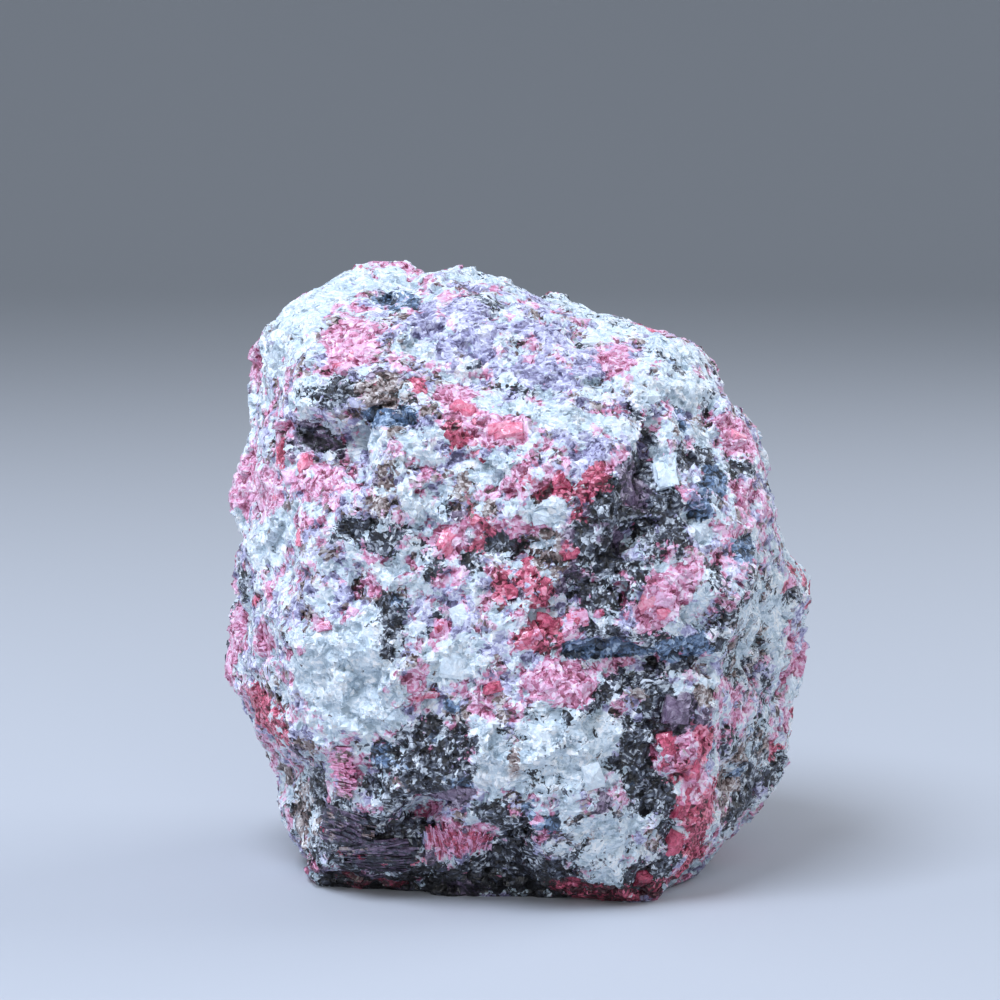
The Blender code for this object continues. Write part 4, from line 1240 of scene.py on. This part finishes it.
class RHODONITE_OT_grains(bpy.types.Operator):
    """Cover the skin with cleaved grains of each mineral"""

    bl_idname = "rhodonite.grains"
    bl_label = "Grow the Grains"

    def execute(self, context):
        skin = bpy.data.objects["rock"].data
        rng = np.random.default_rng(context.scene.rhodonite_grains.seed)
        survey = Survey(mesh_copy(NODE))
        _, normals = smoothed(skin, GRAIN_ROUNDS)
        fine_normals = mesh_vectors(skin, normals=True)
        made = scattered_grains(mesh_vectors(skin) / MM, normals, fine_normals, survey, rng)
        for mineral, (name, finish) in GRAIN_PIECES.items():
            material = rock_material(finish, context.scene.rhodonite_tones, GLOSS[mineral])
            finish_piece(name, made[mineral], material)
        return {"FINISHED"}


class RHODONITE_OT_crystals(bpy.types.Operator):
    """Set the larger crystals and the sheaves of splinters into the front"""

    bl_idname = "rhodonite.crystals"
    bl_label = "Set the Crystals"

    def execute(self, context):
        rng = np.random.default_rng(context.scene.rhodonite_grains.seed + 1)
        survey = Survey(mesh_copy(NODE))
        pieces = {name: [] for name in CRYSTAL_PIECES}
        for name, crystals in CRYSTALS.items():
            for x, z, width, height, depth, turn, right, up, light in crystals:
                at = survey.place(x, z)
                rows = facing_frame(survey.outward(at), turn, right * CRYSTAL_LEAN, up * CRYSTAL_LEAN)
                size = np.array((width, height, depth))
                pieces[name] += layered_crystal(rng, name, at, rows, size, light)
        for name, spot, blade, way, count in SHEAVES:
            pieces[name] += sheaf(rng, survey, name, spot, blade, way, count)
        for name, batches in pieces.items():
            clear = [batch for batch in batches if batch[0][0, :, 2].min() > FOOT_CLEARANCE]
            finish, gloss, _ = CRYSTAL_PIECES[name]
            material = rock_material(finish, context.scene.rhodonite_tones, gloss, CRYSTAL_BROKEN)
            finish_piece(name, clear, material)
        return {"FINISHED"}


class RHODONITE_OT_studio(bpy.types.Operator):
    """Set a pale floor, soft light and the camera"""

    bl_idname = "rhodonite.studio"
    bl_label = "Set the Studio"

    def execute(self, context):
        scene = context.scene
        studio = scene.rhodonite_studio
        floor = sweep_floor(studio.floor)
        for name, (place, size, setting, share, tone) in PANELS.items():
            panel_light(name, place, size, share * getattr(studio, setting), tone)
        world = bpy.data.worlds.new("studio_air")
        world.use_nodes = True
        air = world.node_tree.nodes["Background"]
        air.inputs["Color"].default_value = linear(AIR_TONE)
        air.inputs["Strength"].default_value = AIR_STRENGTH
        scene.world = world
        scene.view_settings.view_transform = "Standard"

        eye = placed("camera", bpy.data.cameras.new("camera"))
        eye.data.lens = CAMERA_LENS
        eye.data.clip_start = CAMERA_NEAREST
        eye.location = CAMERA_PLACE
        eye.rotation_euler = (math.radians(90 - CAMERA_DOWN), 0, 0)
        scene.camera = eye
        return {"FINISHED"}


SETTINGS = {
    "rhodonite_tones": RHODONITE_tones,
    "rhodonite_grains": RHODONITE_grains,
    "rhodonite_studio": RHODONITE_studio,
}
OPERATORS = (RHODONITE_OT_skin, RHODONITE_OT_grains, RHODONITE_OT_crystals, RHODONITE_OT_studio)


class RHODONITE_PT_panel(bpy.types.Panel):
    """The steps and settings of the rock"""

    bl_label = "Rough Rhodonite"
    bl_idname = "RHODONITE_PT_panel"
    bl_space_type = "VIEW_3D"
    bl_region_type = "UI"
    bl_category = "Rhodonite"

    def draw(self, context):
        for operator in OPERATORS:
            self.layout.operator(operator.bl_idname)
        for group in SETTINGS:
            settings = getattr(context.scene, group)
            for name in settings.__annotations__:
                self.layout.prop(settings, name)


def register():
    for name, group in SETTINGS.items():
        bpy.utils.register_class(group)
        setattr(bpy.types.Scene, name, PointerProperty(type=group))
    for part in OPERATORS + (RHODONITE_PT_panel,):
        bpy.utils.register_class(part)


def unregister():
    for part in (RHODONITE_PT_panel,) + OPERATORS:
        bpy.utils.unregister_class(part)
    for name, group in SETTINGS.items():
        delattr(bpy.types.Scene, name)
        bpy.utils.unregister_class(group)


def main():
    """Builds everything."""
    register()
    bpy.ops.rhodonite.skin()
    bpy.ops.rhodonite.grains()
    bpy.ops.rhodonite.crystals()
    bpy.ops.rhodonite.studio()


if __name__ == "__main__":
    main()
